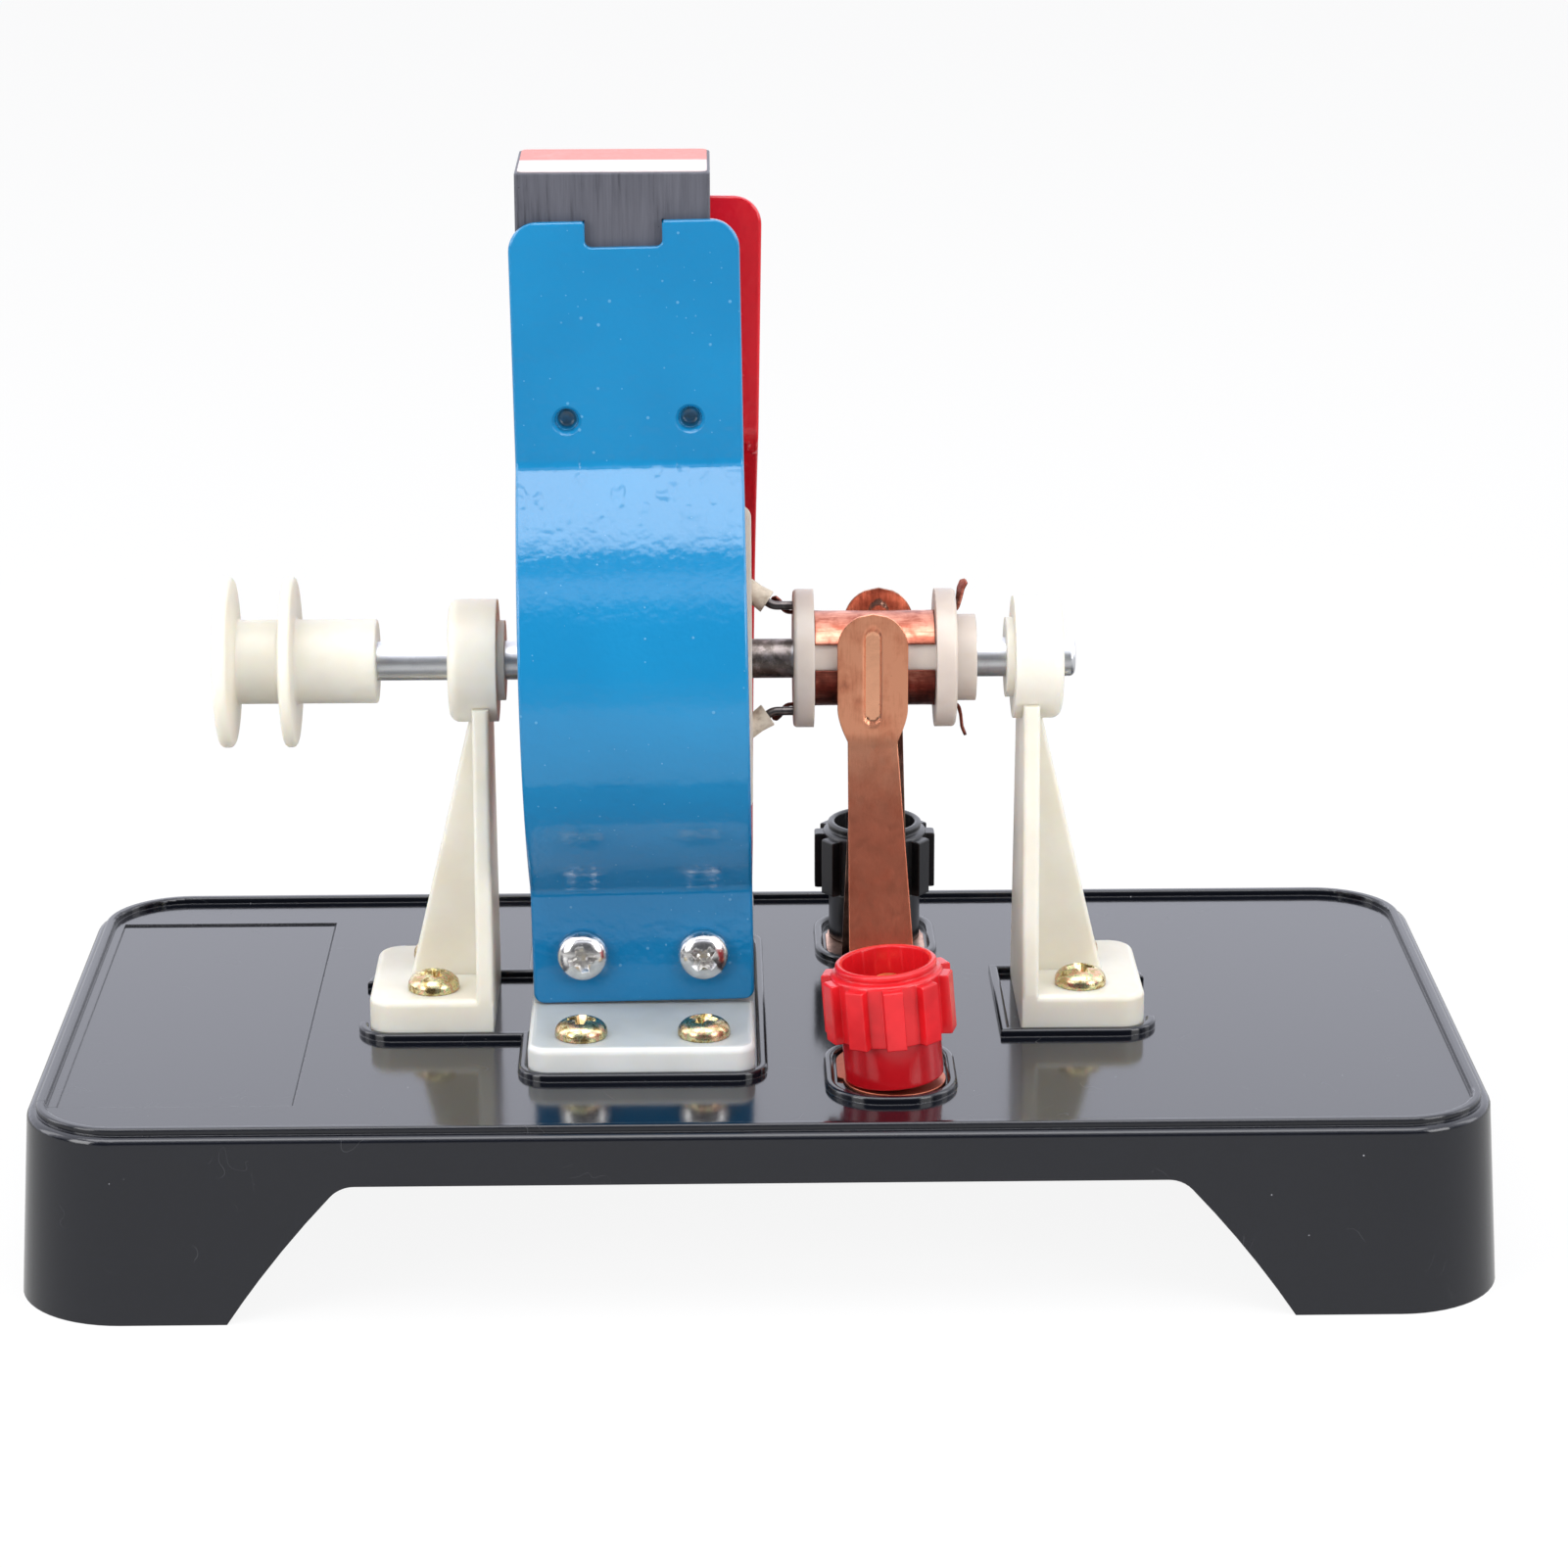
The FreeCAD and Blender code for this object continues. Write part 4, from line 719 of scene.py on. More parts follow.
@dataclass(frozen=True)
class Copper(Finish):
    """Bare copper, more or less tarnished, with optional painted shade towards the bottom."""

    bright: Colour = (0.80, 0.44, 0.30)
    dull: Colour = (0.47, 0.20, 0.12)
    dark: Colour = (0.17, 0.062, 0.045)
    tarnish: float = 0.5
    rough: float = 0.3
    grain: tuple[float, float, float] = (1.0, 1.0, 0.12)
    stops: tuple[float, float, float] = (0.25, 0.52, 0.85)
    # The low colour multiplies the copper towards the bottom: painted shade.
    low: Colour = (1.0, 1.0, 1.0)
    lower_shade_fade: Point = (64.0, 50.0)
    groove: tuple[float, ...] = ()
    rubbed: Colour = (1.0, 0.49, 0.30)

    def make(self, shader: Shader) -> bpy.types.Material:
        """Builds the material.

        Args:
            shader: The empty shader.

        Returns:
            The material.
        """
        spot = shader.place()
        broad = shader.noise(spot, 7.0, 4.0, 0.6)
        blotch = shader.noise(spot, 1.9, 4.0, 0.62, 0.4)
        lines = shader.noise(shader.place(self.grain), 0.35, 4.0, 0.7)
        spots = shader.specks(spot, 1.5, 0.2, 0.45)
        level = (broad - 0.5) * 1.3 + (blotch - 0.5) * 0.6 + (lines - 0.5) * 0.6 + self.tarnish
        body = shader.ramp(level, list(zip(self.stops, (self.bright, self.dull, self.dark))))
        rub = shader.groove(*self.groove) if self.groove else 0.0
        # Painted shade: darker towards the bottom.
        below = shader.axis(2).fade(*self.lower_shade_fade)
        body = shader.mix(below, body, shader.mix(1.0, body, self.low, "MULTIPLY"))
        body = shader.mix(rub, body, self.rubbed)
        return shader.surface({
            "Base Color": shader.mix(spots * 0.5 * (1 - rub), body, self.dark),
            "Metallic": 1.0,
            "Roughness": self.rough + blotch * 0.16 + lines * 0.08 + spots * 0.15 - rub * 0.22,
            "Normal": shader.bump(lines * 0.5 + blotch * 0.5, 0.022, shader.soft_edges(0.12)),
        })


@dataclass(frozen=True)
class EnamelledWire(Finish):
    """Varnished copper wire."""

    colour: Colour = (0.50, 0.17, 0.065)
    deep: Colour = (0.27, 0.075, 0.03)

    def make(self, shader: Shader) -> bpy.types.Material:
        """Builds the material.

        Args:
            shader: The empty shader.

        Returns:
            The material.
        """
        cloud = shader.noise(shader.place(), 4.0, 4.0, 0.6)
        fine = shader.noise(shader.place(), 0.5, 2.0)
        return shader.surface({
            "Base Color": shader.mix(cloud.fade(0.35, 0.7), self.colour, self.deep),
            "Metallic": 0.75,
            "Roughness": 0.24 + fine * 0.15,
            "Coat Weight": 0.7,
            "Coat Roughness": 0.12,
            "Normal": shader.bump(fine, 0.01),
        })


@dataclass(frozen=True)
class Sleeving(Finish):
    """Woven insulating sleeve, stained by varnish."""

    colour: Colour = (0.66, 0.58, 0.46)
    stain: Colour = (0.30, 0.22, 0.15)

    def make(self, shader: Shader) -> bpy.types.Material:
        """Builds the material.

        Args:
            shader: The empty shader.

        Returns:
            The material.
        """
        spot = shader.place()
        cloud = shader.noise(spot, 1.6, 4.0, 0.6)
        weave = shader.noise(shader.place((0.5, 1.0, 1.0)), 0.3, 3.0)
        return shader.surface({
            "Base Color": shader.mix(cloud.fade(0.45, 0.8), self.colour, self.stain),
            "Roughness": 0.5 + weave * 0.2,
            "Normal": shader.bump(weave, 0.05),
        })


BASE_BLACK = BlackMoulding("base black moulding")
IVORY = MouldedPlastic("ivory moulding")
# The feet's flat tops get painted shade.
FEET_WHITE = MouldedPlastic("white moulding", colour=(0.68, 0.695, 0.68), shade=(0.62, 0.63, 0.61),
                            glow=0.3, top_shade=0.44)
# The spool's moulding is darker and pinker than white: painted shade between plate and brushes, and painted
# reflection of the copper.
SPOOL_SHADED_WHITE = MouldedPlastic("spool moulding", colour=(0.60, 0.53, 0.465), shade=(0.50, 0.425, 0.37),
                             glow=0.3, edge=0.2)
TERMINAL_RED = GlossPlastic("red terminal plastic")
# The collar's red is a darker copy of the knob's red: painted shade under the knob.
COLLAR_RED_SHADED = GlossPlastic("red collar plastic", colour=(0.49, 0.007, 0.012), deep=(0.40, 0.005, 0.009),
                          rough=0.14)
TERMINAL_BLACK = GlossPlastic("black terminal plastic", colour=(0.009, 0.009, 0.010),
                              deep=(0.006, 0.006, 0.007), glow=0.0, rough=0.26)
BLUE_ENAMEL = Enamel("blue enamel")
RED_ENAMEL = Enamel("red enamel", colour=(0.60, 0.008, 0.018), thin=(0.52, 0.006, 0.014),
                    nib=(0.62, 0.16, 0.17), coat=0.18, dimple_shift=1.2)
FERRITE = GroundFerrite("ground ferrite")
LABEL_WHITE = LabelStock("white label")
LABEL_RED = LabelStock("pale red label", colour=(0.62, 0.225, 0.20), worn=(0.60, 0.34, 0.32))
STEEL = DrawnSteel("drawn steel")
ZINC = Plating("yellow zinc plating")
NICKEL = Plating("nickel plating", stops=((0.3, (0.86, 0.85, 0.83)), (0.7, (0.70, 0.69, 0.68))), rough=0.12)
BRASS = Plating("stud brass", stops=((0.3, (0.66, 0.50, 0.22)), (0.7, (0.52, 0.38, 0.16))), rough=0.22)
TINNED = Plating("dull tinned wire", stops=((0.3, (0.20, 0.18, 0.17)), (0.7, (0.11, 0.095, 0.09))), rough=0.3)
BRUSH_COPPERS = {
    # The front brush's low colour paints shade on the lower part of its leaf.
    Side.FRONT: Copper("front brush copper", bright=(1.0, 0.45, 0.27), dull=(0.84, 0.33, 0.19),
                       dark=(0.36, 0.10, 0.062), tarnish=0.32, rough=0.27, low=(0.58, 0.41, 0.40),
                       groove=(14.7, 69.8, 1.15, 5.95)),
    # The rear brush's copper is a darker, more tarnished copy of the front's: painted shade.
    Side.REAR: Copper("rear brush copper", bright=(0.75, 0.48, 0.36), dull=(0.40, 0.22, 0.16),
                      dark=(0.14, 0.07, 0.055), tarnish=0.46, rough=0.2)}
# The lower segment copper is a darker copy of the upper: painted shade on the segment that faces down at
# rest; every tab takes it too.
SEGMENT_COPPERS = {
    End.UPPER: Copper("upper segment copper", bright=(0.70, 0.30, 0.205), dull=(0.40, 0.12, 0.075),
                      dark=(0.14, 0.042, 0.03), tarnish=0.44, rough=0.26, grain=(0.12, 1.0, 1.0)),
    End.LOWER: Copper("lower segment copper", bright=(0.50, 0.20, 0.14), dull=(0.24, 0.065, 0.045),
                      dark=(0.07, 0.022, 0.018), tarnish=0.56, rough=0.26, grain=(0.12, 1.0, 1.0))}
WIRE = EnamelledWire("enamelled wire")
SLEEVE = Sleeving("cream sleeving")


# ------------------------------------------------------------------------------------------------ meshes
@dataclass(frozen=True)
class Corner:
    """A profile's corner, and the radius that rounds it."""

    a: float
    b: float
    r: float = 0.0


def rounded(corners: Sequence[Corner], closed: bool, steps: int = 6) -> list[Point]:
    """Turns corners into points, with an arc at each corner that has a radius.

    Args:
        corners: The corners in order.
        closed: Whether the last joins the first.
        steps: Faces in one arc.

    Returns:
        The points.
    """
    points: list[Point] = []
    for index, corner in enumerate(corners):
        at_end = not closed and index in (0, len(corners) - 1)
        here = Vector((corner.a, corner.b))
        if corner.r <= 0.0 or at_end:
            points.append((corner.a, corner.b))
            continue
        before, after = corners[index - 1], corners[(index + 1) % len(corners)]
        back = Vector((before.a, before.b)) - here
        ahead = Vector((after.a, after.b)) - here
        half = back.angle(ahead) / 2
        reach = min(corner.r / math.tan(half), back.length * 0.5, ahead.length * 0.5)
        radius = reach * math.tan(half)
        middle = here + (back.normalized() + ahead.normalized()).normalized() * (radius / math.sin(half))
        start = here + back.normalized() * reach - middle
        end = here + ahead.normalized() * reach - middle
        turn = (math.atan2(end.y, end.x) - math.atan2(start.y, start.x) + math.pi) % (2 * math.pi) - math.pi
        for step in range(steps + 1):
            angle = math.atan2(start.y, start.x) + turn * step / steps
            points.append((middle.x + radius * math.cos(angle), middle.y + radius * math.sin(angle)))
    return points


def oblong(half_a: float, half_b: float, radius: float = 0.0, steps: int = 6) -> list[Point]:
    """A rounded rectangle about the origin.

    Args:
        half_a: Half its first side.
        half_b: Half its second side.
        radius: Its corners' radius.
        steps: Faces in one corner.

    Returns:
        The points.
    """
    signs = ((-1, -1), (1, -1), (1, 1), (-1, 1))
    return rounded([Corner(a * half_a, b * half_b, radius) for a, b in signs], True, steps)


def smooth_step(low: float, high: float, value: float) -> float:
    """Goes smoothly from 0 at low to 1 at high."""
    share = min(1.0, max(0.0, (value - low) / (high - low)))
    return share * share * (3.0 - 2.0 * share)


def stand(name: str, data: bpy.types.ID) -> bpy.types.Object:
    """Puts a new object in the scene.

    Args:
        name: The object's name.
        data: Its mesh, lamp or camera.

    Returns:
        The object.
    """
    made = bpy.data.objects.new(name, data)
    bpy.context.scene.collection.objects.link(made)
    return made


class Draft:
    """A mesh under construction, in millimetres."""

    def __init__(self) -> None:
        """Starts with nothing."""
        self.mesh = bmesh.new()

    def skin(self, rings: Sequence[Sequence[Vector]], joined: bool, capped: bool) -> "Draft":
        """Stretches a skin over rings of points.

        Args:
            rings: The rings. One of a single point makes a tip.
            joined: Whether the last ring joins the first.
            capped: Whether flat faces close the first and last rings.

        Returns:
            This draft.
        """
        made = [[self.mesh.verts.new(point) for point in ring] for ring in rings]
        pairs = list(zip(made, made[1:])) + ([(made[-1], made[0])] if joined else [])
        for low, high in pairs:
            count = max(len(low), len(high))
            for index in range(count):
                after = (index + 1) % count
                corners = [low[index % len(low)], low[after % len(low)], high[after % len(high)],
                           high[index % len(high)]]
                unique = list(dict.fromkeys(corners))
                if len(unique) > 2:
                    self.mesh.faces.new(unique)
        if capped:
            self.mesh.faces.new(list(reversed(made[0])))
            self.mesh.faces.new(made[-1])
        return self

    def turned(self, profile: Sequence[Point], place: Matrix, closed: bool = False,
               count: int = 96) -> "Draft":
        """Turns a profile round an axis.

        Args:
            profile: Points as (along the axis, radius).
            place: Where the axis, its own Z, stands.
            closed: Whether the profile is a loop clear of the axis.
            count: Faces round the axis.

        Returns:
            This draft.
        """
        rings = []
        for along, radius in profile:
            if radius < 1e-6:
                rings.append([place @ Vector((0.0, 0.0, along))])
                continue
            angles = [2 * math.pi * step / count for step in range(count)]
            rings.append([place @ Vector((radius * math.cos(angle), radius * math.sin(angle), along))
                          for angle in angles])
        return self.skin(rings, closed, False)

    def block(self, outline: Sequence[Point], low: float, high: float, place: Matrix) -> "Draft":
        """Raises an outline into a block.

        Args:
            outline: The outline's points.
            low: Where it starts on its own Z.
            high: Where it ends.
            place: Where it stands.

        Returns:
            This draft.
        """
        rings = [[place @ Vector((a, b, height)) for a, b in outline] for height in (low, high)]
        return self.skin(rings, False, True)

    def tube(self, path: Sequence[Vector], radius: float, closed: bool, count: int = 10) -> "Draft":
        """Runs a round tube along a path.

        Args:
            path: The path's points.
            radius: The tube's radius.
            closed: Whether the path is a loop.
            count: Faces round the tube.

        Returns:
            This draft.
        """
        rings = []
        side = Vector((0.0, 1.0, 0.0))
        for index, point in enumerate(path):
            before = path[index - 1] if closed or index else point
            after = path[(index + 1) % len(path)] if closed or index + 1 < len(path) else point
            ahead = (after - before).normalized()
            side = (side - ahead * side.dot(ahead)).normalized()
            other = ahead.cross(side)
            rings.append([point + (side * math.cos(2 * math.pi * step / count)
                                   + other * math.sin(2 * math.pi * step / count)) * radius
                          for step in range(count)])
        return self.skin(rings, closed, not closed)

    def piece(self, name: str) -> "Piece":
        """Ends the draft.

        Args:
            name: The new object's name.

        Returns:
            The piece, in metres.
        """
        bmesh.ops.recalc_face_normals(self.mesh, faces=self.mesh.faces)
        self.mesh.transform(Matrix.Scale(METRES, 4))
        data = bpy.data.meshes.new(name)
        self.mesh.to_mesh(data)
        self.mesh.free()
        return Piece(stand(name, data))


class Piece:
    """A finished mesh that is worked on, dressed and joined to its body."""

    def __init__(self, made: bpy.types.Object) -> None:
        """Wraps an object."""
        self.object = made

    def settle(self) -> "Piece":
        """Applies the modifiers.

        Returns:
            This piece.
        """
        graph = bpy.context.evaluated_depsgraph_get()
        data = bpy.data.meshes.new_from_object(self.object.evaluated_get(graph))
        self.object.modifiers.clear()
        self.object.data = data
        return self

    def cut(self, cutter: "Piece") -> "Piece":
        """Takes another piece's space away, and removes that piece.

        Args:
            cutter: The piece that cuts.

        Returns:
            This piece.
        """
        modifier = self.object.modifiers.new("cut", "BOOLEAN")
        modifier.operation = "DIFFERENCE"
        modifier.solver = "EXACT"
        modifier.object = cutter.object
        self.settle()
        bpy.data.objects.remove(cutter.object)
        return self

    def bevel(self, width: float, angle: float = 50.0, steps: int = 3) -> "Piece":
        """Rounds the sharp edges.

        Args:
            width: The rounding's width, in millimetres.
            angle: Edges sharper than this many degrees are rounded.
            steps: Faces across it.

        Returns:
            This piece.
        """
        modifier = self.object.modifiers.new("bevel", "BEVEL")
        modifier.width = width * METRES
        modifier.segments = steps
        modifier.limit_method = "ANGLE"
        modifier.angle_limit = math.radians(angle)
        modifier.use_clamp_overlap = False
        return self.settle()

    def dress(self, finish: Finish, body: str, slot: str, nodes: Sequence[str],
              sharp: float = 38.0) -> "Piece":
        """Shades, paints and joins the piece.

        Args:
            finish: Its finish.
            body: The CAD body that it rides on.
            slot: The record's material slot; not used.
            nodes: The CAD nodes that it stands for.
            sharp: Edges sharper than this many degrees stay sharp.

        Returns:
            This piece.
        """
        data = self.object.data
        data.shade_smooth()
        data.set_sharp_from_angle(angle=math.radians(sharp))
        data.materials.clear()
        data.materials.append(finish.material())
        weighted = self.object.modifiers.new("normals", "WEIGHTED_NORMAL")
        weighted.keep_sharp = True
        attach(self.object, body)
        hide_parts(*nodes)
        return self


def paint(node: str, finish: Finish) -> None:
    """Gives a CAD node a finish.

    Args:
        node: The node's name.
        finish: Its finish.
    """
    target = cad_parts[node]
    for index in range(max(1, len(target.material_slots))):
        if not target.material_slots:
            target.data.materials.append(finish.material())
        target.material_slots[index].material = finish.material()


# ------------------------------------------------------------------------------------------------ the motor
@dataclass
class BaseAndBearings:
    """The moulded base, the bearing brackets and the feet of the field, whose CAD shapes stay."""

    finishes: dict[str, Finish] = field(default_factory=lambda: {
        "base_shell": BASE_BLACK, "bracket_left": IVORY, "bracket_right": IVORY,
        "field_foot_front": FEET_WHITE, "field_foot_rear": FEET_WHITE,
        "terminal_nuts": NICKEL, "lock_washers": NICKEL})

    def build(self) -> int:
        """Paints the CAD nodes.

        Returns:
            How many were painted.
        """
        for node, finish in self.finishes.items():
            paint(node, finish)
        return len(self.finishes)


@dataclass
class PanScrews:
    """A set of like pan-head screws with cross recesses."""

    name: str
    seats: Sequence[Vector]
    out: Sequence[Vector]
    finish: Finish
    slot: str
    length: float
    head_radius: float = 3.3
    head_height: float = 2.3
    rim: float = 0.55
    shank_radius: float = 1.7
    point_length: float = 1.5
    recess_steps: tuple[tuple[float, float, float], ...] = ((1.7, 0.62, 0.24), (0.935, 1.15, 0.36),
                                                            (-0.4, 2.3, 0.62))
    recess_root: float = 1.25
    first_turn: float = 25.0
    next_turn: float = 37.0

    def head_profile(self) -> list[Point]:
        """The head, shank and point as one turned profile.

        Returns:
            Points as (height above the seat, radius).
        """
        crown = self.head_height - self.rim
        dome = [(self.rim + crown * math.sqrt(max(0.0, 1 - share ** 2.5)), self.head_radius * share)
                for share in (1.0, 0.985, 0.96, 0.92, 0.86, 0.78, 0.68, 0.56, 0.42, 0.28, 0.14)]
        tip = self.shank_radius * self.point_length
        under = rounded([Corner(-self.length, 0.0), Corner(-self.length, 0.25, 0.1),
                         Corner(-self.length + tip, self.shank_radius, 0.3), Corner(0.0, self.shank_radius),
                         Corner(0.0, self.head_radius, 0.18), Corner(self.rim, self.head_radius)], False)
        return under[:-1] + dome + [(self.head_height, 0.0)]

    def recess(self, place: Matrix) -> Piece:
        """The cutter for one cross recess, from (depth, half span, half width) at each step.

        Args:
            place: Where the head stands.

        Returns:
            The cutter.
        """
        rings = []
        for depth, span, width in self.recess_steps:
            ring = []
            root = width * self.recess_root
            for quarter in range(4):
                turn = Matrix.Rotation(quarter * math.pi / 2, 3, "Z")
                ring += [place @ Vector((*(turn @ Vector((a, b, 0.0))).xy, self.head_height - depth))
                         for a, b in ((span, -width), (span, width), (root, root))]
            rings.append(ring)
        return Draft().skin(rings, False, True).piece("recess")

    def build(self, body: str) -> Piece:
        """Builds the set.

        Args:
            body: The body that it rides on.

        Returns:
            The piece.
        """
        draft = Draft()
        recesses = []
        for number, (seat, out) in enumerate(zip(self.seats, self.out)):
            aim = out.to_track_quat("Z", "Y").to_matrix().to_4x4()
            turn = Matrix.Rotation(math.radians(self.first_turn + self.next_turn * number), 4, "Z")
            place = Matrix.Translation(seat) @ aim @ turn
            draft.turned(self.head_profile(), place, count=56)
            recesses.append(self.recess(place))
        piece = draft.piece(self.name + "_set")
        for recess in recesses:
            piece.cut(recess)
        return piece.dress(self.finish, body, self.slot, [self.name], 32.0)


@dataclass
class PolePlate:
    """One enamelled pole plate, bent round the rotor and leaned within the play of its screws."""

    side: Side
    finish: Finish
    slot: str
    lean: float
    thickness: float = 1.2
    flat: float = 9.5
    crown: float = 23.4
    arc: float = 27.9
    arc_angle: float = 22.0
    shoulder: float = 44.4
    bend: float = 2.8
    top: float = 57.9
    bottom: float = PANEL + 4.25 - SHAFT_HEIGHT
    top_corner: float = 3.6
    bottom_corner: float = 1.4
    edge: float = 0.42
    notch_width: float = 9.4
    notch_depth: float = 3.2
    notch_corner: float = 0.8
    bevel: float = 0.3
    dimple_profile: tuple[Corner, ...] = (Corner(-2.05, 0.0), Corner(-2.0, 1.0, 0.5), Corner(-0.4, 1.5, 0.3),
                                          Corner(0.02, 1.86), Corner(1.0, 2.7), Corner(1.0, 0.0))
    bump_profile: tuple[Corner, ...] = (Corner(-0.1, 0.0), Corner(-0.1, 1.75), Corner(0.0, 1.62, 0.2),
                                        Corner(1.28, 1.3, 0.5), Corner(1.28, 0.0))
    bend_steps: int = 12
    corner_steps: int = 10
    edge_steps: int = 4

    def run(self) -> list[tuple[float, float, float]]:
        """The sheet's middle line, from bottom to top.

        Returns:
            Points as (distance from the shaft's plane, height above the shaft, tilt in radians).
        """
        arc_end = math.radians(self.arc_angle)
        arc_y = self.crown - self.arc
        shoulder_y = arc_y + (self.arc - self.shoulder) * math.cos(arc_end)
        shoulder_z = (self.arc - self.shoulder) * math.sin(arc_end)
        bend_y = self.flat + self.bend
        bend_z = shoulder_z + math.sqrt((self.shoulder + self.bend) ** 2 - (bend_y - shoulder_y) ** 2)
        swing = math.atan2(bend_z - shoulder_z, bend_y - shoulder_y)
        upper = [(self.flat, self.top, 0.0), (self.flat, bend_z, 0.0)]
        for centre_y, centre_z, radius, start, finish in (
                (bend_y, bend_z, -self.bend, 0.0, swing),
                (shoulder_y, shoulder_z, self.shoulder, swing, arc_end),
                (arc_y, 0.0, self.arc, arc_end, 0.0)):
            for step in range(1, self.bend_steps + 1):
                turn = start + (finish - start) * step / self.bend_steps
                upper.append((centre_y + radius * math.cos(turn), centre_z + radius * math.sin(turn), -turn))
        lower = [(d, -z, -t) for d, z, t in reversed(upper[:-1])]
        lower[-1] = (self.flat, self.bottom, 0.0)
        return list(reversed(upper + lower))

    def stations(self) -> list[tuple[float, float, float, float, float]]:
        """The cross-sections, closer together at the rounded ends.

        Returns:
            Rows of (distance, height, tilt, half width, half thickness).
        """
        base = self.run()
        lengths = [0.0]
        for first, second in zip(base, base[1:]):
            lengths.append(lengths[-1] + math.hypot(second[0] - first[0], second[1] - first[1]))
        total = lengths[-1]
        cuts = {length for length in lengths if self.bottom_corner < length < total - self.top_corner}
        for corner, sign, origin in ((self.bottom_corner, 1, 0.0), (self.top_corner, -1, total)):
            for reach, steps in ((corner, self.corner_steps), (self.edge, self.edge_steps)):
                cuts |= {origin + sign * reach * (1 - math.cos(math.pi / 2 * step / steps))
                         for step in range(steps + 1)}
        made = []
        for cut in sorted(cuts):
            index = max(number for number, length in enumerate(lengths[:-1]) if length <= cut + 1e-9)
            share = (cut - lengths[index]) / (lengths[index + 1] - lengths[index])
            place = [a + (b - a) * share for a, b in zip(base[index], base[index + 1])]
            half = FIELD_WIDTH / 2
            thin = self.thickness / 2
            for corner, distance in ((self.bottom_corner, cut), (self.top_corner, total - cut)):
                if distance < corner:
                    half -= corner - math.sqrt(max(0.0, corner ** 2 - (corner - distance) ** 2))
                if distance < self.edge:
                    thin -= self.edge - math.sqrt(max(0.0, self.edge ** 2 - (self.edge - distance) ** 2))
            made.append((*place, half, thin))
        return made

    def leaned(self) -> Matrix:
        """The lean about the lower screws."""
        pivot = Matrix.Translation((FIELD_X, 0.0, PLATE_SCREW_Z))
        return pivot @ Matrix.Rotation(math.radians(self.lean), 4, "Y") @ pivot.inverted()

    def build(self, body: str) -> Piece:
        """Builds the plate, its notch and its dimples.

        Args:
            body: The body that it rides on.

        Returns:
            The piece.
        """
        sign = self.side.value
        lean = self.leaned()
        rings = []
        for distance, height, tilt, half, thin in self.stations():
            rings.append([lean @ Vector((FIELD_X + across, sign * (distance + through * math.cos(tilt)),
                                         SHAFT_HEIGHT + height - through * math.sin(tilt)))
                          for across, through in oblong(half, thin, min(self.edge, thin * 0.98), 4)])
        plate = Draft().skin(rings, False, True).piece("pole_plate_" + self.side.word + "_painted")
        plate.cut(self.notch())
        for sign_x in (-1, 1):
            plate.cut(self.dimple(sign_x))
        plate.bevel(self.bevel, 55.0)
        self.bumps(body)
        return plate.dress(self.finish, body, self.slot, ["pole_plate_" + self.side.word], 40.0)

    def notch(self) -> Piece:
        """The cutter for the notch in the top edge, flared above the sheet.

        Returns:
            The cutter.
        """
        half, low, above = self.notch_width / 2, self.top - self.notch_depth, self.top + 3.0
        outline = rounded([Corner(-half, low, self.notch_corner), Corner(half, low, self.notch_corner),
                           Corner(half, self.top - 0.01), Corner(half + 0.5, above),
                           Corner(-half - 0.5, above), Corner(-half, self.top - 0.01)], True)
        face_on = Matrix.Translation((FIELD_X, 0.0, SHAFT_HEIGHT)) @ Matrix.Rotation(math.pi / 2, 4, "X")
        middle, reach = -self.side.value * self.flat, 4.0
        place = self.leaned() @ face_on
        return Draft().block(outline, middle - reach, middle + reach, place).piece("notch")

    def seat(self, sign_x: int, distance: float, facing: int) -> Matrix:
        """Where a dimple or its bump is turned.

        Args:
            sign_x: -1 for the left one, 1 for the right one.
            distance: How far from the shaft's plane it starts.
            facing: 1 to face outwards, -1 to face inwards.

        Returns:
            The leaned place.
        """
        spot = Matrix.Translation((FIELD_X + sign_x * DIMPLE_SPACING / 2, self.side.value * distance,
                                   SHAFT_HEIGHT + DIMPLE_HEIGHT))
        return self.leaned() @ spot @ Matrix.Rotation(-facing * self.side.value * math.pi / 2, 4, "X")

    def dimple(self, sign_x: int) -> Piece:
        """The cutter for one pressed dimple."""
        place = self.seat(sign_x, self.flat + self.thickness / 2, 1)
        return Draft().turned(rounded(self.dimple_profile, False), place, count=40).piece("dimple")

    def bumps(self, body: str) -> Piece:
        """The bumps that the dimples raise inside, which the magnet rests on.

        Args:
            body: The body that they ride on.

        Returns:
            The piece.
        """
        draft = Draft()
        for sign_x in (-1, 1):
            place = self.seat(sign_x, self.flat - self.thickness / 2, -1)
            draft.turned(rounded(self.bump_profile, False), place, count=32)
        rests = draft.piece("magnet_rests_" + self.side.word)
        for sign_x in (-1, 1):
            rests.cut(self.dimple(sign_x))
        return rests.dress(self.finish, body, self.slot, [])


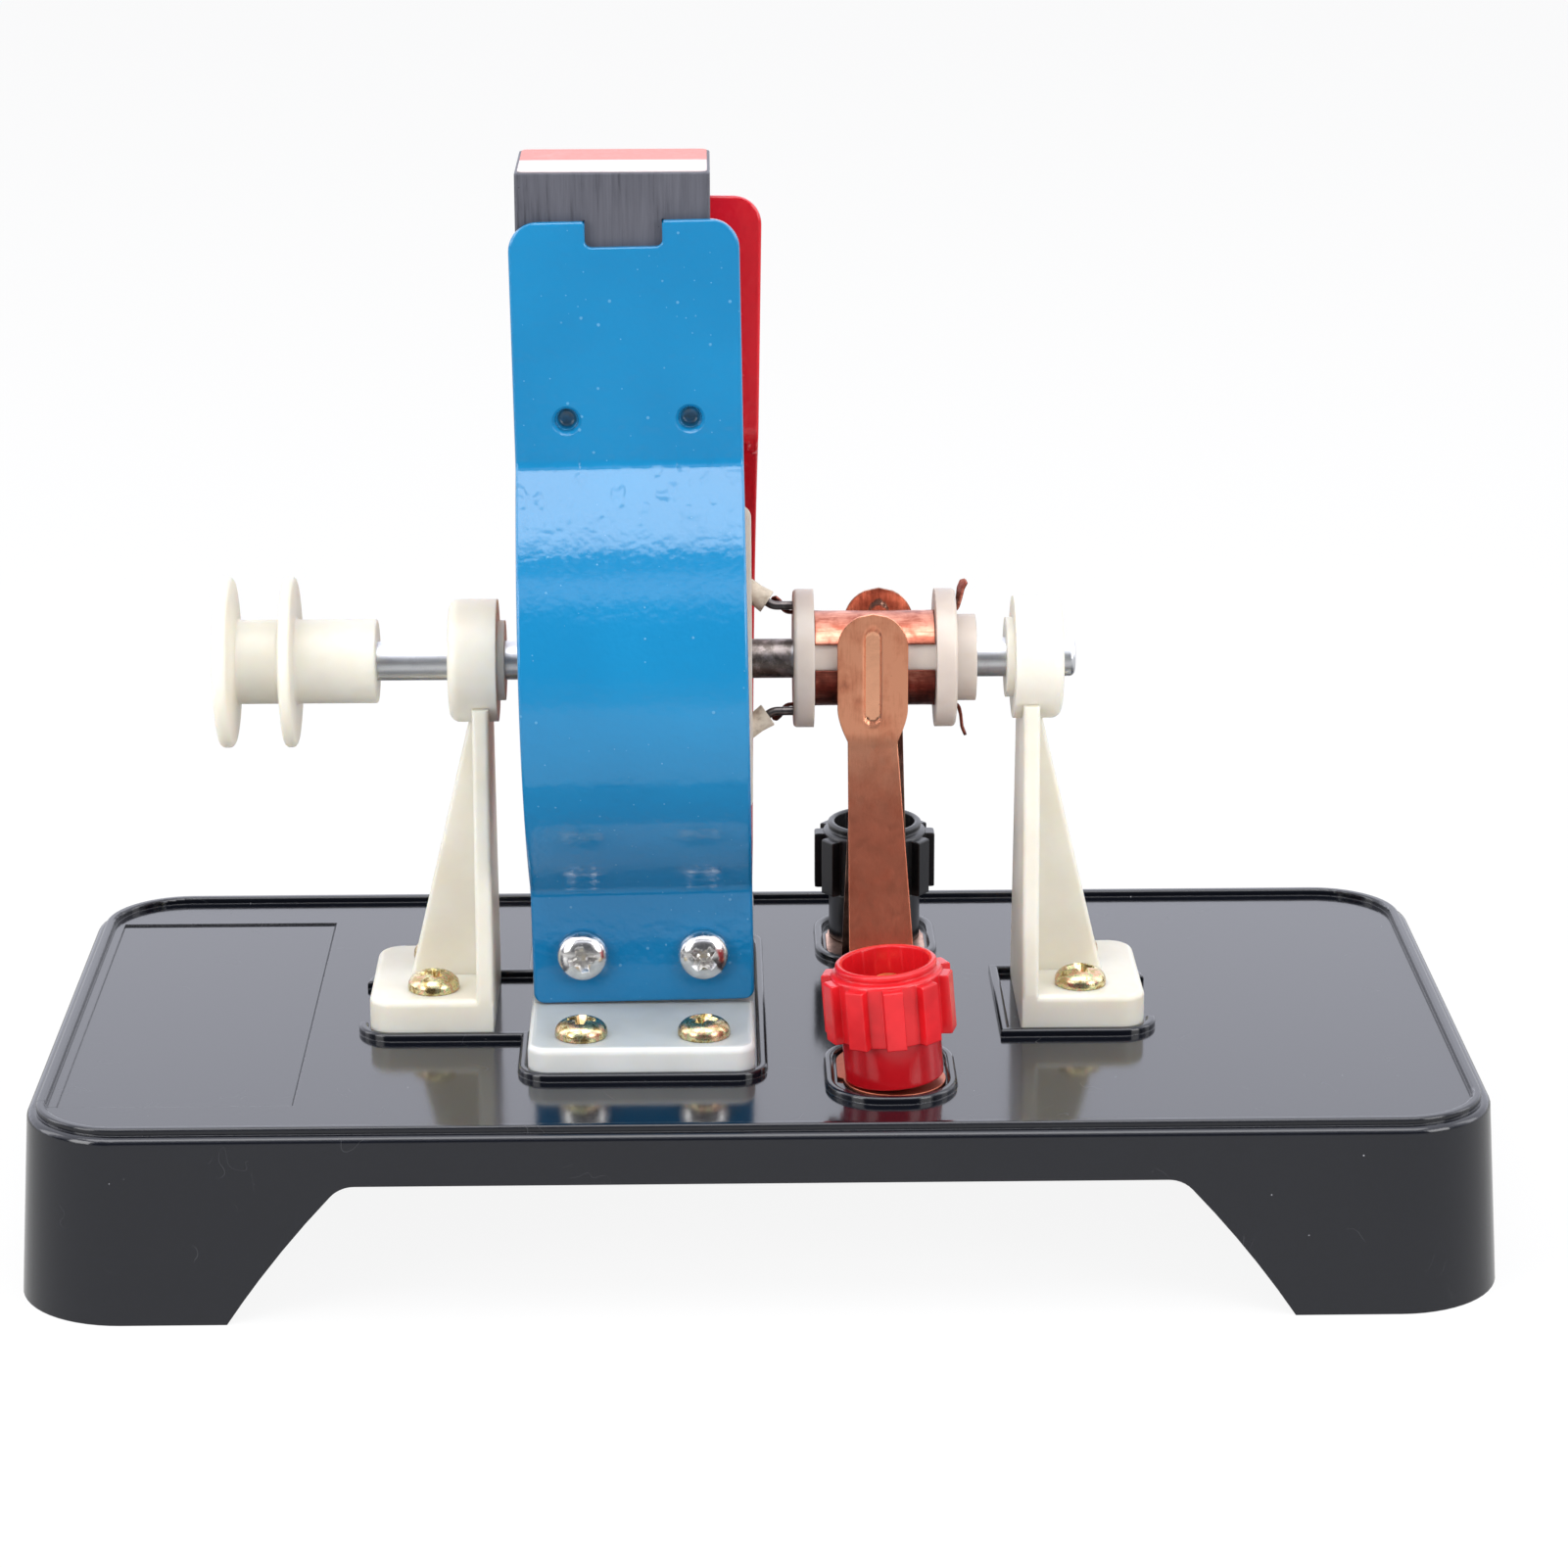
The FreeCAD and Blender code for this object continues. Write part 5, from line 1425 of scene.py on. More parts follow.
@dataclass
class Magnet:
    """The ceramic block and the two halves of its bare label."""

    centre_x: float = -17.3
    width: float = 23.8
    half_depth: float = 8.85
    bottom: float = 105.5
    height: float = 28.6
    corners: tuple[float, ...] = (0.5, 0.35, 0.45, 0.3)
    label: float = 0.2
    label_inset: float = 0.36
    label_gap: float = 0.05
    label_corner: float = 0.9

    def build(self, body: str) -> Piece:
        """Builds the block and its labels.

        Args:
            body: The body that they ride on.

        Returns:
            The block.
        """
        here = Matrix.Translation((self.centre_x, 0.0, 0.0))
        half = self.width / 2
        signs = ((-1, -1), (1, -1), (1, 1), (-1, 1))
        outline = rounded([Corner(a * half, b * self.half_depth, radius)
                           for (a, b), radius in zip(signs, self.corners)], True, 4)
        top = self.bottom + self.height
        block = Draft().block(outline, self.bottom, top, here).piece("magnet_ceramic")
        block.bevel(0.22, 60.0)
        block.dress(FERRITE, body, "ferrite", ["magnet_block"], 40.0)
        wide = half - self.label_inset
        for side, finish, slot in ((Side.FRONT, LABEL_WHITE, "label_white"),
                                   (Side.REAR, LABEL_RED, "label_red")):
            near, far = side.value * self.label_gap, side.value * (self.half_depth - self.label_inset)
            outline = rounded([Corner(-wide, near, 0.1), Corner(wide, near, 0.1),
                               Corner(wide, far, self.label_corner),
                               Corner(-wide, far, self.label_corner)], True)
            label = Draft().block(outline, top, top + self.label, here).piece("magnet_top_" + side.word)
            label.bevel(0.05, 60.0, 2)
            label.dress(finish, body, slot, ["magnet_label_" + side.word], 40.0)
        return block


@dataclass
class Brush:
    """One copper strip brush: round pad, leaning leaf and upright slotted head."""

    side: Side
    head_shift: float
    pad_shift: float
    thickness: float = 0.4
    pad_radius: float = 6.4
    pad_hole: float = 2.9
    tongue_half: float = 6.65
    tongue_end: float = 16.35
    tongue_corner: float = 5.55
    tongue_split: float = 18.8
    foot_half: float = 4.5
    foot_shift: float = -0.25
    bend: float = 18.0
    head_distance: float = 6.65
    neck: float = -9.2
    neck_half: float = 3.15
    shoulder: float = -5.0
    head_half: float = 4.45
    top: float = 7.5
    groove_centre: float = -0.7
    groove_half_length: float = 5.25
    groove_radius: float = 1.15
    groove_depth: float = 0.3
    groove_edge: Point = (0.1, -0.12)
    bend_radius: float = 1.0
    neck_radius: float = 8.2
    shoulder_curve: float = 1.6
    ear_reach: float = 1.9
    row_spacing: float = 0.42
    columns: int = 72
    crowding: float = 0.35

    def line(self) -> list[Vector]:
        """The strip's middle line, evenly spaced.

        Returns:
            Points as (distance from the shaft's plane, height).
        """
        low = PANEL + self.thickness / 2
        corners = [Corner(TERMINAL_Y + self.pad_radius - 0.02, low), Corner(self.bend, low, self.bend_radius),
                   Corner(self.head_distance, SHAFT_HEIGHT + self.neck, self.neck_radius),
                   Corner(self.head_distance, SHAFT_HEIGHT + self.top)]
        rough = [Vector(point) for point in rounded(corners, False, 14)]
        made = [rough[0]]
        for start, end in zip(rough, rough[1:]):
            parts = max(1, round((end - start).length / self.row_spacing))
            made += [start.lerp(end, part / parts) for part in range(1, parts + 1)]
        return made

    def tongue(self, distance: float) -> float:
        """Half the tongue's width at a distance from the shaft's plane."""
        into = self.tongue_corner - min(self.tongue_corner, max(0.0, distance - self.tongue_end))
        return self.tongue_half - self.tongue_corner + math.sqrt(self.tongue_corner ** 2 - into ** 2)

    def ends(self, spot: Vector) -> tuple[float, float]:
        """Where the strip's two edges are at a point of its line.

        Args:
            spot: The point as (distance, height).

        Returns:
            The left and the right edge, from the terminal.
        """
        level = spot.y - SHAFT_HEIGHT
        pad_end = PANEL + self.thickness / 2 - SHAFT_HEIGHT
        climb = min(1.0, max(0.0, (level - pad_end) / (self.neck - pad_end)))
        shift = self.foot_shift + (self.head_shift - self.foot_shift) * climb
        if spot.x >= self.tongue_split and climb <= 0.0:
            away = min(self.pad_radius, abs(spot.x - TERMINAL_Y))
            disc = math.sqrt(self.pad_radius ** 2 - away ** 2)
            wide = self.tongue(spot.x) if spot.x <= TERMINAL_Y else disc - abs(self.pad_shift)
            return min(self.pad_shift - disc, -wide), max(self.pad_shift + disc, wide)
        leaf = self.foot_half + (self.neck_half - self.foot_half) * climb
        fall = min(1.0, max(0.0, (self.shoulder - level) / (self.shoulder - self.neck)))
        half = leaf + (self.head_half - leaf) * (1.0 - fall ** self.shoulder_curve)
        crown = level - (self.top - self.head_half)
        if crown > 0.0:
            half = math.sqrt(max(0.0, self.head_half ** 2 - crown ** 2))
        return shift - half, shift + half

    def ears(self) -> Piece:
        """The two corners of the tongue that stay flat beside the leaf.

        Returns:
            The piece.
        """
        draft = Draft()
        steps = [self.tongue_split + 0.2 - self.ear_reach * step / 12 for step in range(13)]
        for sign in (-1, 1):
            inner = self.foot_half + sign * self.foot_shift
            edge = [(self.tongue(away), away) for away in steps if self.tongue(away) > inner + 0.05]
            outline = [(inner, edge[0][1])] + edge + [(inner, edge[-1][1])]
            draft.block([(TERMINAL_X + sign * a, self.side.value * b) for a, b in outline],
                        PANEL, PANEL + self.thickness, Matrix.Identity(4))
        return draft.piece("brush_ears_" + self.side.word)

    def build(self, body: str) -> Piece:
        """Builds the strip.

        Args:
            body: The body that it rides on.

        Returns:
            The piece.
        """
        draft = Draft()
        rows = [self.row(draft, spot) for spot in self.line()]
        for low, high in zip(rows, rows[1:]):
            for column in range(self.columns):
                draft.mesh.faces.new((low[column], low[column + 1], high[column + 1], high[column]))
        bmesh.ops.remove_doubles(draft.mesh, verts=draft.mesh.verts, dist=0.01)
        strip = draft.piece("brush_strip_" + self.side.word)
        copper = BRUSH_COPPERS[self.side]
        self.ears().dress(copper, body, "brush_copper", [])
        thick = strip.object.modifiers.new("thickness", "SOLIDIFY")
        thick.thickness = self.thickness * METRES
        thick.offset = 0.0
        thick.use_even_offset = True
        strip.settle()
        centre = Matrix.Translation((TERMINAL_X, self.side.value * TERMINAL_Y, PANEL - 1.0))
        hole = [(0.0, 0.0), (0.0, self.pad_hole), (2.0, self.pad_hole), (2.0, 0.0)]
        strip.cut(Draft().turned(hole, centre, count=48).piece("pad_hole"))
        strip.bevel(0.07, 60.0, 2)
        return strip.dress(copper, body, "brush_copper", ["brush_" + self.side.word], 50.0)

    def row(self, draft: Draft, spot: Vector) -> list[bmesh.types.BMVert]:
        """One row of points across the strip, pressed in where the head's groove runs.

        Args:
            draft: The strip's draft.
            spot: Where the row crosses the middle line.

        Returns:
            The row's points, from left to right.
        """
        left, right = self.ends(spot)
        level = spot.y - SHAFT_HEIGHT
        reach = max(0.0, abs(level - self.groove_centre) - (self.groove_half_length - 0.2))
        outside, inside = (self.groove_radius + step for step in self.groove_edge)
        row = []
        for column in range(self.columns + 1):
            share = 2 * column / self.columns - 1
            spread = math.sin(math.pi / 2 * share) * self.crowding + share * (1.0 - self.crowding)
            across = (right - left) / 2 * spread
            press = self.groove_depth * smooth_step(outside, inside, math.hypot(across, reach))
            distance = spot.x - (press if level > self.neck else 0.0)
            place = (TERMINAL_X + (left + right) / 2 + across, self.side.value * distance, spot.y)
            row.append(draft.mesh.verts.new(place))
        return row


@dataclass
class Terminal:
    """One binding post: ribbed knob, washer, collar and stud."""

    side: Side
    knob_finish: Finish
    collar_finish: Finish
    slot: str
    first_rib: float = 0.0
    knob_rise: float = 0.0
    lean: float = 0.0
    shift: float = 0.0
    pivot: float = 22.4
    ribs: int = 10
    root: float = 6.95
    rib_face: float = 8.1
    rib_half_angle: float = 8.6
    collar_foot: float = 0.4
    collar_top: float = 7.3
    collar_radius: float = 6.15
    collar_mouth: float = 4.05
    collar_bore: float = 2.2
    collar_floor: float = 5.8
    washer_foot: float = 7.4
    washer_top: float = 8.0
    washer_radius: float = 4.8
    washer_bore: float = 2.15
    thread_pitch: float = 0.7
    thread_crest: float = 1.98
    thread_root: float = 1.66
    low_thread: tuple[float, int] = (-8.4, 20)
    high_thread: tuple[float, int] = (7.6, 8)
    stud_foot: tuple[Point, ...] = ((-9.0, 0.0), (-9.0, 1.5), (-8.6, 1.98))
    stud_flange: tuple[Point, ...] = ((5.8, 1.9), (5.8, 3.9), (5.9, 4.0), (7.2, 4.0), (7.3, 3.9), (7.3, 1.98))
    stud_tip: tuple[Point, ...] = ((13.5, 1.7), (13.7, 1.4), (13.7, 0.0))
    knob_start: tuple[float, float, float] = (6.70, 6.55, 0.0)
    knob_ribbed: tuple[tuple[float, float, float], ...] = (
        (6.70, 0.15, 0.88), (6.75, 0.04, 0.97), (6.86, 0.0, 1.0), (14.02, 0.0, 1.0), (14.16, 0.0, 0.97),
        (14.25, 0.0, 0.88), (14.29, 0.0, 0.74), (14.30, 0.0, 0.0), (14.46, 0.02, 0.0), (14.62, 0.12, 0.0),
        (14.72, 0.3, 0.0), (14.76, 0.6, 0.0))
    knob_lip: tuple[Point, ...] = (
        (14.86, 6.2), (15.06, 6.16), (15.2, 6.26), (15.42, 6.33), (15.66, 6.28), (15.82, 6.10),
        (15.89, 5.86), (15.86, 5.62), (15.74, 5.44), (15.5, 5.36))
    knob_mouth: tuple[Point, ...] = ((11.3, 5.30), (11.05, 5.2), (10.92, 4.95), (10.9, 2.35), (10.8, 2.1))
    knob_under: tuple[Point, ...] = ((8.5, 2.06), (8.4, 2.2), (8.4, 6.25), (8.3, 6.42), (6.8, 6.46))

    def place(self, rise: float = 0.0) -> Matrix:
        """The post's leaned axis.

        Args:
            rise: How far above the panel it starts.

        Returns:
            The place.
        """
        y = self.side.value * TERMINAL_Y
        pivot = Matrix.Translation((TERMINAL_X, y, self.pivot))
        lean = pivot @ Matrix.Rotation(math.radians(self.lean), 4, "Y") @ pivot.inverted()
        upright = Matrix.Translation((TERMINAL_X, y, PANEL + rise))
        return Matrix.Translation((self.shift, 0.0, 0.0)) @ lean @ upright

    def columns(self) -> list[Point]:
        """The directions in which the knob's rings are drawn, closest together at the ribs' corners.

        Returns:
            Pairs of (angle, how far the flat-faced rib stands out there).
        """
        corner = {8.55: 0.96, 8.9: 0.85, 10.1: 0.08, 10.35: 0.02}
        half = [4.0, 7.6, 8.2, 8.55, 8.9, 10.1, 10.35, 10.9, 13.5]
        offsets = [-17.0] + [-offset for offset in reversed(half)] + [0.0] + half
        made = []
        for rib in range(self.ribs):
            for offset in offsets:
                share = corner.get(abs(offset), 1.0 if abs(offset) < 8.5 else 0.0)
                face = self.rib_face / math.cos(math.radians(min(abs(offset), self.rib_half_angle)))
                angle = math.radians(self.first_rib + rib * 360.0 / self.ribs + offset)
                made.append((angle, (face - self.root) * share))
        return made

    def knob_rings(self) -> list[tuple[float, float, float]]:
        """The knob's rings, once round its wall: up the ribs, over the lip, down the mouth, under.

        Returns:
            Rows of (height, radius, share of the ribs).
        """
        wall = [(height, self.root - inset, share) for height, inset, share in self.knob_ribbed]
        smooth = self.knob_lip + self.knob_mouth + self.knob_under
        return [self.knob_start] + wall + [(height, radius, 0.0) for height, radius in smooth]

    def build(self, base: str, knob: str, washer: str) -> Piece:
        """Builds the post.

        Args:
            base: The body of the collar and stud.
            knob: The knob's body.
            washer: The washer's body.

        Returns:
            The knob.
        """
        raised = self.place(self.knob_rise)
        columns = self.columns()
        rings = []
        for height, radius, share in self.knob_rings():
            reaches = [(angle, radius + share * rise) for angle, rise in columns]
            rings.append([raised @ Vector((reach * math.cos(angle), reach * math.sin(angle), height))
                          for angle, reach in reaches])
        made = Draft().skin(rings, True, False).piece("knob_" + self.side.word)
        made.dress(self.knob_finish, knob, self.slot, ["terminal_knob_" + self.side.word], 34.0)
        self.collar(base)
        self.stud(base)
        self.washer(washer)
        return made

    def collar(self, body: str) -> Piece:
        """The fixed collar under the knob.

        Args:
            body: The body that it rides on.

        Returns:
            The piece.
        """
        low, high = self.collar_foot, self.collar_top
        profile = rounded([Corner(low, self.collar_bore, 0.1), Corner(low, self.collar_radius, 0.2),
                           Corner(high, self.collar_radius, 0.5), Corner(high, self.collar_mouth, 0.1),
                           Corner(self.collar_floor, self.collar_mouth),
                           Corner(self.collar_floor, self.collar_bore)], True)
        made = Draft().turned(profile, self.place(), True).piece("collar_" + self.side.word)
        return made.dress(self.collar_finish, body, self.slot, ["terminal_collar_" + self.side.word])

    def washer(self, body: str) -> Piece:
        """The pressure washer that rides under the knob.

        Args:
            body: The body that it rides on.

        Returns:
            The piece.
        """
        low, high = self.washer_foot, self.washer_top
        bore, radius = self.washer_bore, self.washer_radius
        profile = rounded([Corner(low, bore, 0.1), Corner(low, radius, 0.15), Corner(high, radius, 0.15),
                           Corner(high, bore, 0.1)], True, 3)
        made = Draft().turned(profile, self.place(self.knob_rise), True, 64).piece("washer_" + self.side.word)
        return made.dress(NICKEL, body, "nickel_steel", ["pressure_washer_" + self.side.word])

    def thread(self, low: float, turns: int, first: float, second: float) -> tuple[Point, ...]:
        """A thread's profile, with two rings to each turn.

        Args:
            low: Where it starts.
            turns: How many turns it has.
            first: The radius that each turn starts at.
            second: The radius half a pitch on.

        Returns:
            Points as (height, radius).
        """
        return tuple((low + self.thread_pitch * (turn + share), radius)
                     for turn in range(turns) for share, radius in ((0.0, first), (0.5, second)))

    def stud(self, body: str) -> Piece:
        """The threaded stud and its flange.

        Args:
            body: The body that it rides on.

        Returns:
            The piece.
        """
        crest, root = self.thread_crest, self.thread_root
        low = self.thread(*self.low_thread, crest, root)
        high = self.thread(*self.high_thread, root, crest)
        profile = self.stud_foot + low + self.stud_flange + high + self.stud_tip
        made = Draft().turned(profile, self.place(), count=48).piece("stud_" + self.side.word)
        return made.dress(BRASS, body, "stud_brass", ["terminal_stud_" + self.side.word], 28.0)


@dataclass(frozen=True)
class Tab:
    """One tab of a segment, through a flange. Its corners are (along the shaft, distance from it)."""

    name: str
    corners: tuple[Point, ...]
    twist: float
    root_width: float = 1.6
    tip_width: float = 1.5
    bend: float = 0.9
    root_thickness: float = 0.48
    tip_thickness: float = 0.36
    edge: float = 0.12
    rounding: float = 0.5

    def line(self) -> list[Point]:
        """The tab's middle line, with points close together at the tip.

        Returns:
            Points as (along the shaft, distance from it).
        """
        line = rounded([Corner(*corner, self.bend) for corner in self.corners], False, 5)
        last, tip = line[-2:]
        return line[:-1] + [(last[0] + (tip[0] - last[0]) * share, last[1] + (tip[1] - last[1]) * share)
                            for share in (0.5, 0.7, 0.84, 0.94, 1.0)]

    def draft(self) -> Draft:
        """Bends and twists the strip along its line, and rounds its tip.

        Returns:
            The tab's draft.
        """
        line = self.line()
        tip, middle = line[-1], self.corners[0][1]
        rings = []
        for index, (x, z) in enumerate(line):
            before, after = line[max(0, index - 1)], line[min(len(line) - 1, index + 1)]
            ahead = Vector((after[0] - before[0], 0.0, after[1] - before[1])).normalized()
            share = max(0.0, (z - middle) / (tip[1] - middle))
            side = Matrix.Rotation(math.radians(self.twist * share), 3, ahead) @ Vector((0.0, 1.0, 0.0))
            half = (self.root_width + (self.tip_width - self.root_width) * share) / 2
            narrowest = self.edge + 0.02
            half -= (half - narrowest) * smooth_step(self.rounding, 0.0, math.dist((x, z), tip)) ** 2
            thin = (self.root_thickness + (self.tip_thickness - self.root_thickness) * share) / 2
            rings.append([Vector((x, 0.0, z)) + side * a + ahead.cross(side) * b
                          for a, b in oblong(half, thin, self.edge, 3)])
        return Draft().skin(rings, False, True)


LEFT_TAB = Tab("left", ((8.4, 5.78), (4.0, 5.88), (3.0, 7.1), (2.1, 7.75)), 40.0)
TABS = {
    End.UPPER: (Tab("right", ((21.7, 5.78), (25.6, 5.88), (25.95, 7.4), (26.2, 8.8), (26.75, 9.95)), 40.0),
                LEFT_TAB),
    End.LOWER: (Tab("right", ((21.7, 5.78), (25.75, 5.88), (26.1, 7.3), (26.25, 8.8), (26.7, 9.95)), 8.0),
                LEFT_TAB)}


@dataclass
class Segment:
    """One copper half shell of the commutator, with its two tabs."""

    end: End
    inner: float = 5.53
    outer: float = 6.03
    left: float = 7.45
    right: float = 22.65
    half_angle: float = 73.8
    half_steps: int = 24

    def shell(self) -> Draft:
        """The half shell, drawn about the shaft's line at the origin.

        Returns:
            The shell's draft.
        """
        rings = []
        for x in (self.left, self.right):
            ring = []
            for radius, turn in ((self.outer, 1), (self.inner, -1)):
                for step in range(2 * self.half_steps + 1):
                    angle = math.radians(self.half_angle) * turn * (step / self.half_steps - 1)
                    ring.append(Vector((x, radius * math.sin(angle), radius * math.cos(angle))))
            rings.append(ring)
        return Draft().skin(rings, False, True)

    def build(self, body: str, rest: Matrix) -> list[Piece]:
        """Builds the segment and its tabs.

        Args:
            body: The body that it rides on.
            rest: The turn from the drawn position to rest.

        Returns:
            The pieces.
        """
        made = self.shell().piece("segment_" + self.end.word)
        made.bevel(0.1, 60.0, 2)
        half_turn = 0.0 if self.end is End.UPPER else math.pi
        place = rest @ Matrix.Translation((0.0, 0.0, SHAFT_HEIGHT)) @ Matrix.Rotation(half_turn, 4, "X")
        pieces = [made]
        for tab in TABS[self.end]:
            draft = tab.draft()
            draft.mesh.transform(place)
            piece = draft.piece("segment_tab_" + tab.name + "_" + self.end.word)
            # The tabs take the darker copper: painted shade.
            pieces.append(piece.dress(SEGMENT_COPPERS[End.LOWER], body, "segment_copper", [], 50.0))
        made.object.data.transform(Matrix.Scale(METRES, 4) @ place @ Matrix.Scale(1 / METRES, 4))
        made.dress(SEGMENT_COPPERS[self.end], body, "segment_copper", ["commutator_segment_" + self.end.word])
        return pieces


@dataclass
class Rotor:
    """The shaft and everything that turns with it."""

    body: str = "rotor"
    rest_angle: float = -15.5
    shaft_ends: Point = (-67.0, 40.7)
    shaft_radius: float = 2.5
    pulley_bore: float = 2.52
    hub_radius: float = 5.35
    hub_right: float = -48.0
    flange_radius: float = 10.9
    right_flange: Point = (-59.75, -58.35)
    pulley_groove: Point = (-65.65, -60.45)
    left_flange: Point = (-68.1, -66.35)
    coil_length: float = 28.2
    coil_height: float = 38.6
    coil_corner: float = 2.2
    channel: float = 11.0
    wire: float = 0.5
    wire_gap: float = 0.02
    layers: Point = (0.95, 1.35)
    path_step: float = 1.3
    parting_heights: Point = (3.8, 8.5)
    parting_aside: Point = (4.35, 0.85)
    parting_depth: float = 2.6
    filling: float = 4.6
    filling_ends: float = 5.0
    filling_outside: float = 1.4
    filling_corner: float = 1.5
    lead_across: float = -1.55
    lead_radius: float = 0.56
    lead_corners: tuple[Point, ...] = ((-1.1, 8.9), (2.2, 6.7), (4.72, 6.7))
    lead_bend: float = 2.0
    sleeve_start: Point = (-1.25, 9.0)
    sleeve_share: float = 0.8
    sleeve_profile: tuple[tuple[float, float, float], ...] = (
        (0.0, 0.68, 0.0), (0.0, 1.42, 0.2), (0.5, 1.34, 1.0), (1.0, 1.55, 0.12), (1.0, 1.2, 0.08),
        (0.8, 0.7, 0.1))

    def at_rest(self) -> Matrix:
        """The turn from the drawn position to rest."""
        centre = Matrix.Translation((0.0, 0.0, SHAFT_HEIGHT))
        return centre @ Matrix.Rotation(math.radians(self.rest_angle), 4, "X") @ centre.inverted()

    def build(self) -> int:
        """Builds the rotor.

        Returns:
            How many pieces it has.
        """
        pieces = [self.build_shaft(), self.build_pulley(), self.build_winding()]
        for end in End:
            pieces += [self.build_lead(end), self.build_sleeve(end)]
            pieces += Segment(end).build(self.body, self.at_rest())
        kept = ("commutator_spool", "coil_former")
        for node in kept:
            paint(node, SPOOL_SHADED_WHITE)
        return len(pieces) + len(kept)

    def build_shaft(self) -> Piece:
        """Turns the shaft with its rounded right end.

        Returns:
            The piece.
        """
        left, right = self.shaft_ends
        profile = rounded([Corner(left, 0.0), Corner(left, self.shaft_radius, 0.3),
                           Corner(right, self.shaft_radius, 0.75), Corner(right, 0.0)], False, 8)
        bar = Draft().turned(profile, ALONG_X).piece("shaft_bar")
        return bar.dress(STEEL, self.body, "shaft_steel", ["shaft"])

    def build_pulley(self) -> Piece:
        """Turns the pulley with its long hub.

        Returns:
            The piece.
        """
        bore, hub, flange = self.pulley_bore, self.hub_radius, self.flange_radius
        left, left_inside = self.left_flange
        groove_left, groove_right = self.pulley_groove
        right_inside, right = self.right_flange
        profile = rounded([
            Corner(self.hub_right, bore, 0.2), Corner(self.hub_right, hub, 0.3), Corner(right, hub, 0.5),
            Corner(right, flange, 0.6), Corner(right_inside, flange, 0.6), Corner(groove_right, hub, 0.4),
            Corner(groove_left, hub, 0.4), Corner(left_inside, flange, 0.7), Corner(left, flange, 0.8),
            Corner(left, bore, 0.3)], True)
        wheel = Draft().turned(profile, ALONG_X, True, 128).piece("pulley_wheel")
        return wheel.dress(IVORY, self.body, "ivory_plastic", ["pulley"])

    def turn_path(self, offset: float, inset: float) -> list[Vector]:
        """One turn of wire round the former, parted and sunk where the shaft passes.

        Args:
            offset: Its place across the channel, from the middle.
            inset: How deep it lies below the former's outline.

        Returns:
            Points round the turn, before the rotor is turned to rest.
        """
        half_x = self.coil_length / 2 - inset
        outline = oblong(half_x, self.coil_height / 2 - inset, self.coil_corner, 5)
        rank = abs(offset) / (self.channel / 2 - self.wire / 2)
        aside = math.copysign(self.parting_aside[0] + self.parting_aside[1] * rank, offset)
        path = []
        for start, end in zip(outline, outline[1:] + outline[:1]):
            parts = max(1, round(math.dist(start, end) / self.path_step))
            for part in range(parts):
                a, b = (first + (second - first) * part / parts for first, second in zip(start, end))
                near = (1.0 - smooth_step(*self.parting_heights, abs(b))) if abs(a) > half_x - 0.5 else 0.0
                sunk = math.copysign(self.parting_depth * (1.0 - rank) * near, a)
                path.append(Vector((FIELD_X + a - sunk, offset + (aside - offset) * near, SHAFT_HEIGHT + b)))
        return path

    def fill(self, draft: Draft, x_ends: Point, z_ends: Point) -> None:
        """Fills a part of the coil's inside with a block.

        Args:
            draft: The winding's draft.
            x_ends: The block's ends along the shaft, from the coil's middle.
            z_ends: Its ends in height, from the shaft.
        """
        left, right = sorted(FIELD_X + x for x in x_ends)
        low, high = sorted(SHAFT_HEIGHT + z for z in z_ends)
        half = self.channel / 2 - 0.05
        draft.block([(left, -half), (right, -half), (right, half), (left, half)], low, high, self.at_rest())

    def build_winding(self) -> Piece:
        """Winds the visible layers of wire on the former, over plain blocks.

        Returns:
            The piece.
        """
        rest = self.at_rest()
        draft = Draft()
        turns = int(self.channel / (self.wire + self.wire_gap))
        for layer, inset in enumerate(self.layers):
            count = turns - layer
            for turn in range(count):
                offset = (turn - (count - 1) / 2) * (self.channel - self.wire) / (turns - 1)
                offset = offset if abs(offset) > 0.01 else 0.02
                draft.tube([rest @ point for point in self.turn_path(offset, inset)], self.wire / 2, True, 8)
        half_x, half_z = self.coil_length / 2, self.coil_height / 2
        for sign_z in (-1, 1):
            self.fill(draft, (self.filling_ends - half_x, half_x - self.filling_ends),
                      (sign_z * (half_z - self.filling), sign_z * (half_z - self.filling_outside)))
        for sign_x in (-1, 1):
            for sign_z in (-1, 1):
                self.fill(draft, (sign_x * (half_x - self.filling), sign_x * (half_x - self.filling_corner)),
                          (sign_z * self.filling, sign_z * (half_z - self.filling_corner)))
        return draft.piece("winding_turns").dress(WIRE, self.body, "enamelled_wire", ["coil_winding"])

    def build_lead(self, end: End) -> Piece:
        """Runs one coil lead to the commutator.

        Args:
            end: Which lead.

        Returns:
            The piece.
        """
        rest = self.at_rest()
        line = rounded([Corner(*corner, self.lead_bend) for corner in self.lead_corners], False, 8)
        path = [rest @ Vector((x, self.lead_across, SHAFT_HEIGHT + end.value * z)) for x, z in line]
        wire = Draft().tube(path, self.lead_radius, False, 16).piece("lead_" + end.word)
        return wire.dress(TINNED, self.body, "tinned_wire", ["lead_wire_" + end.word])

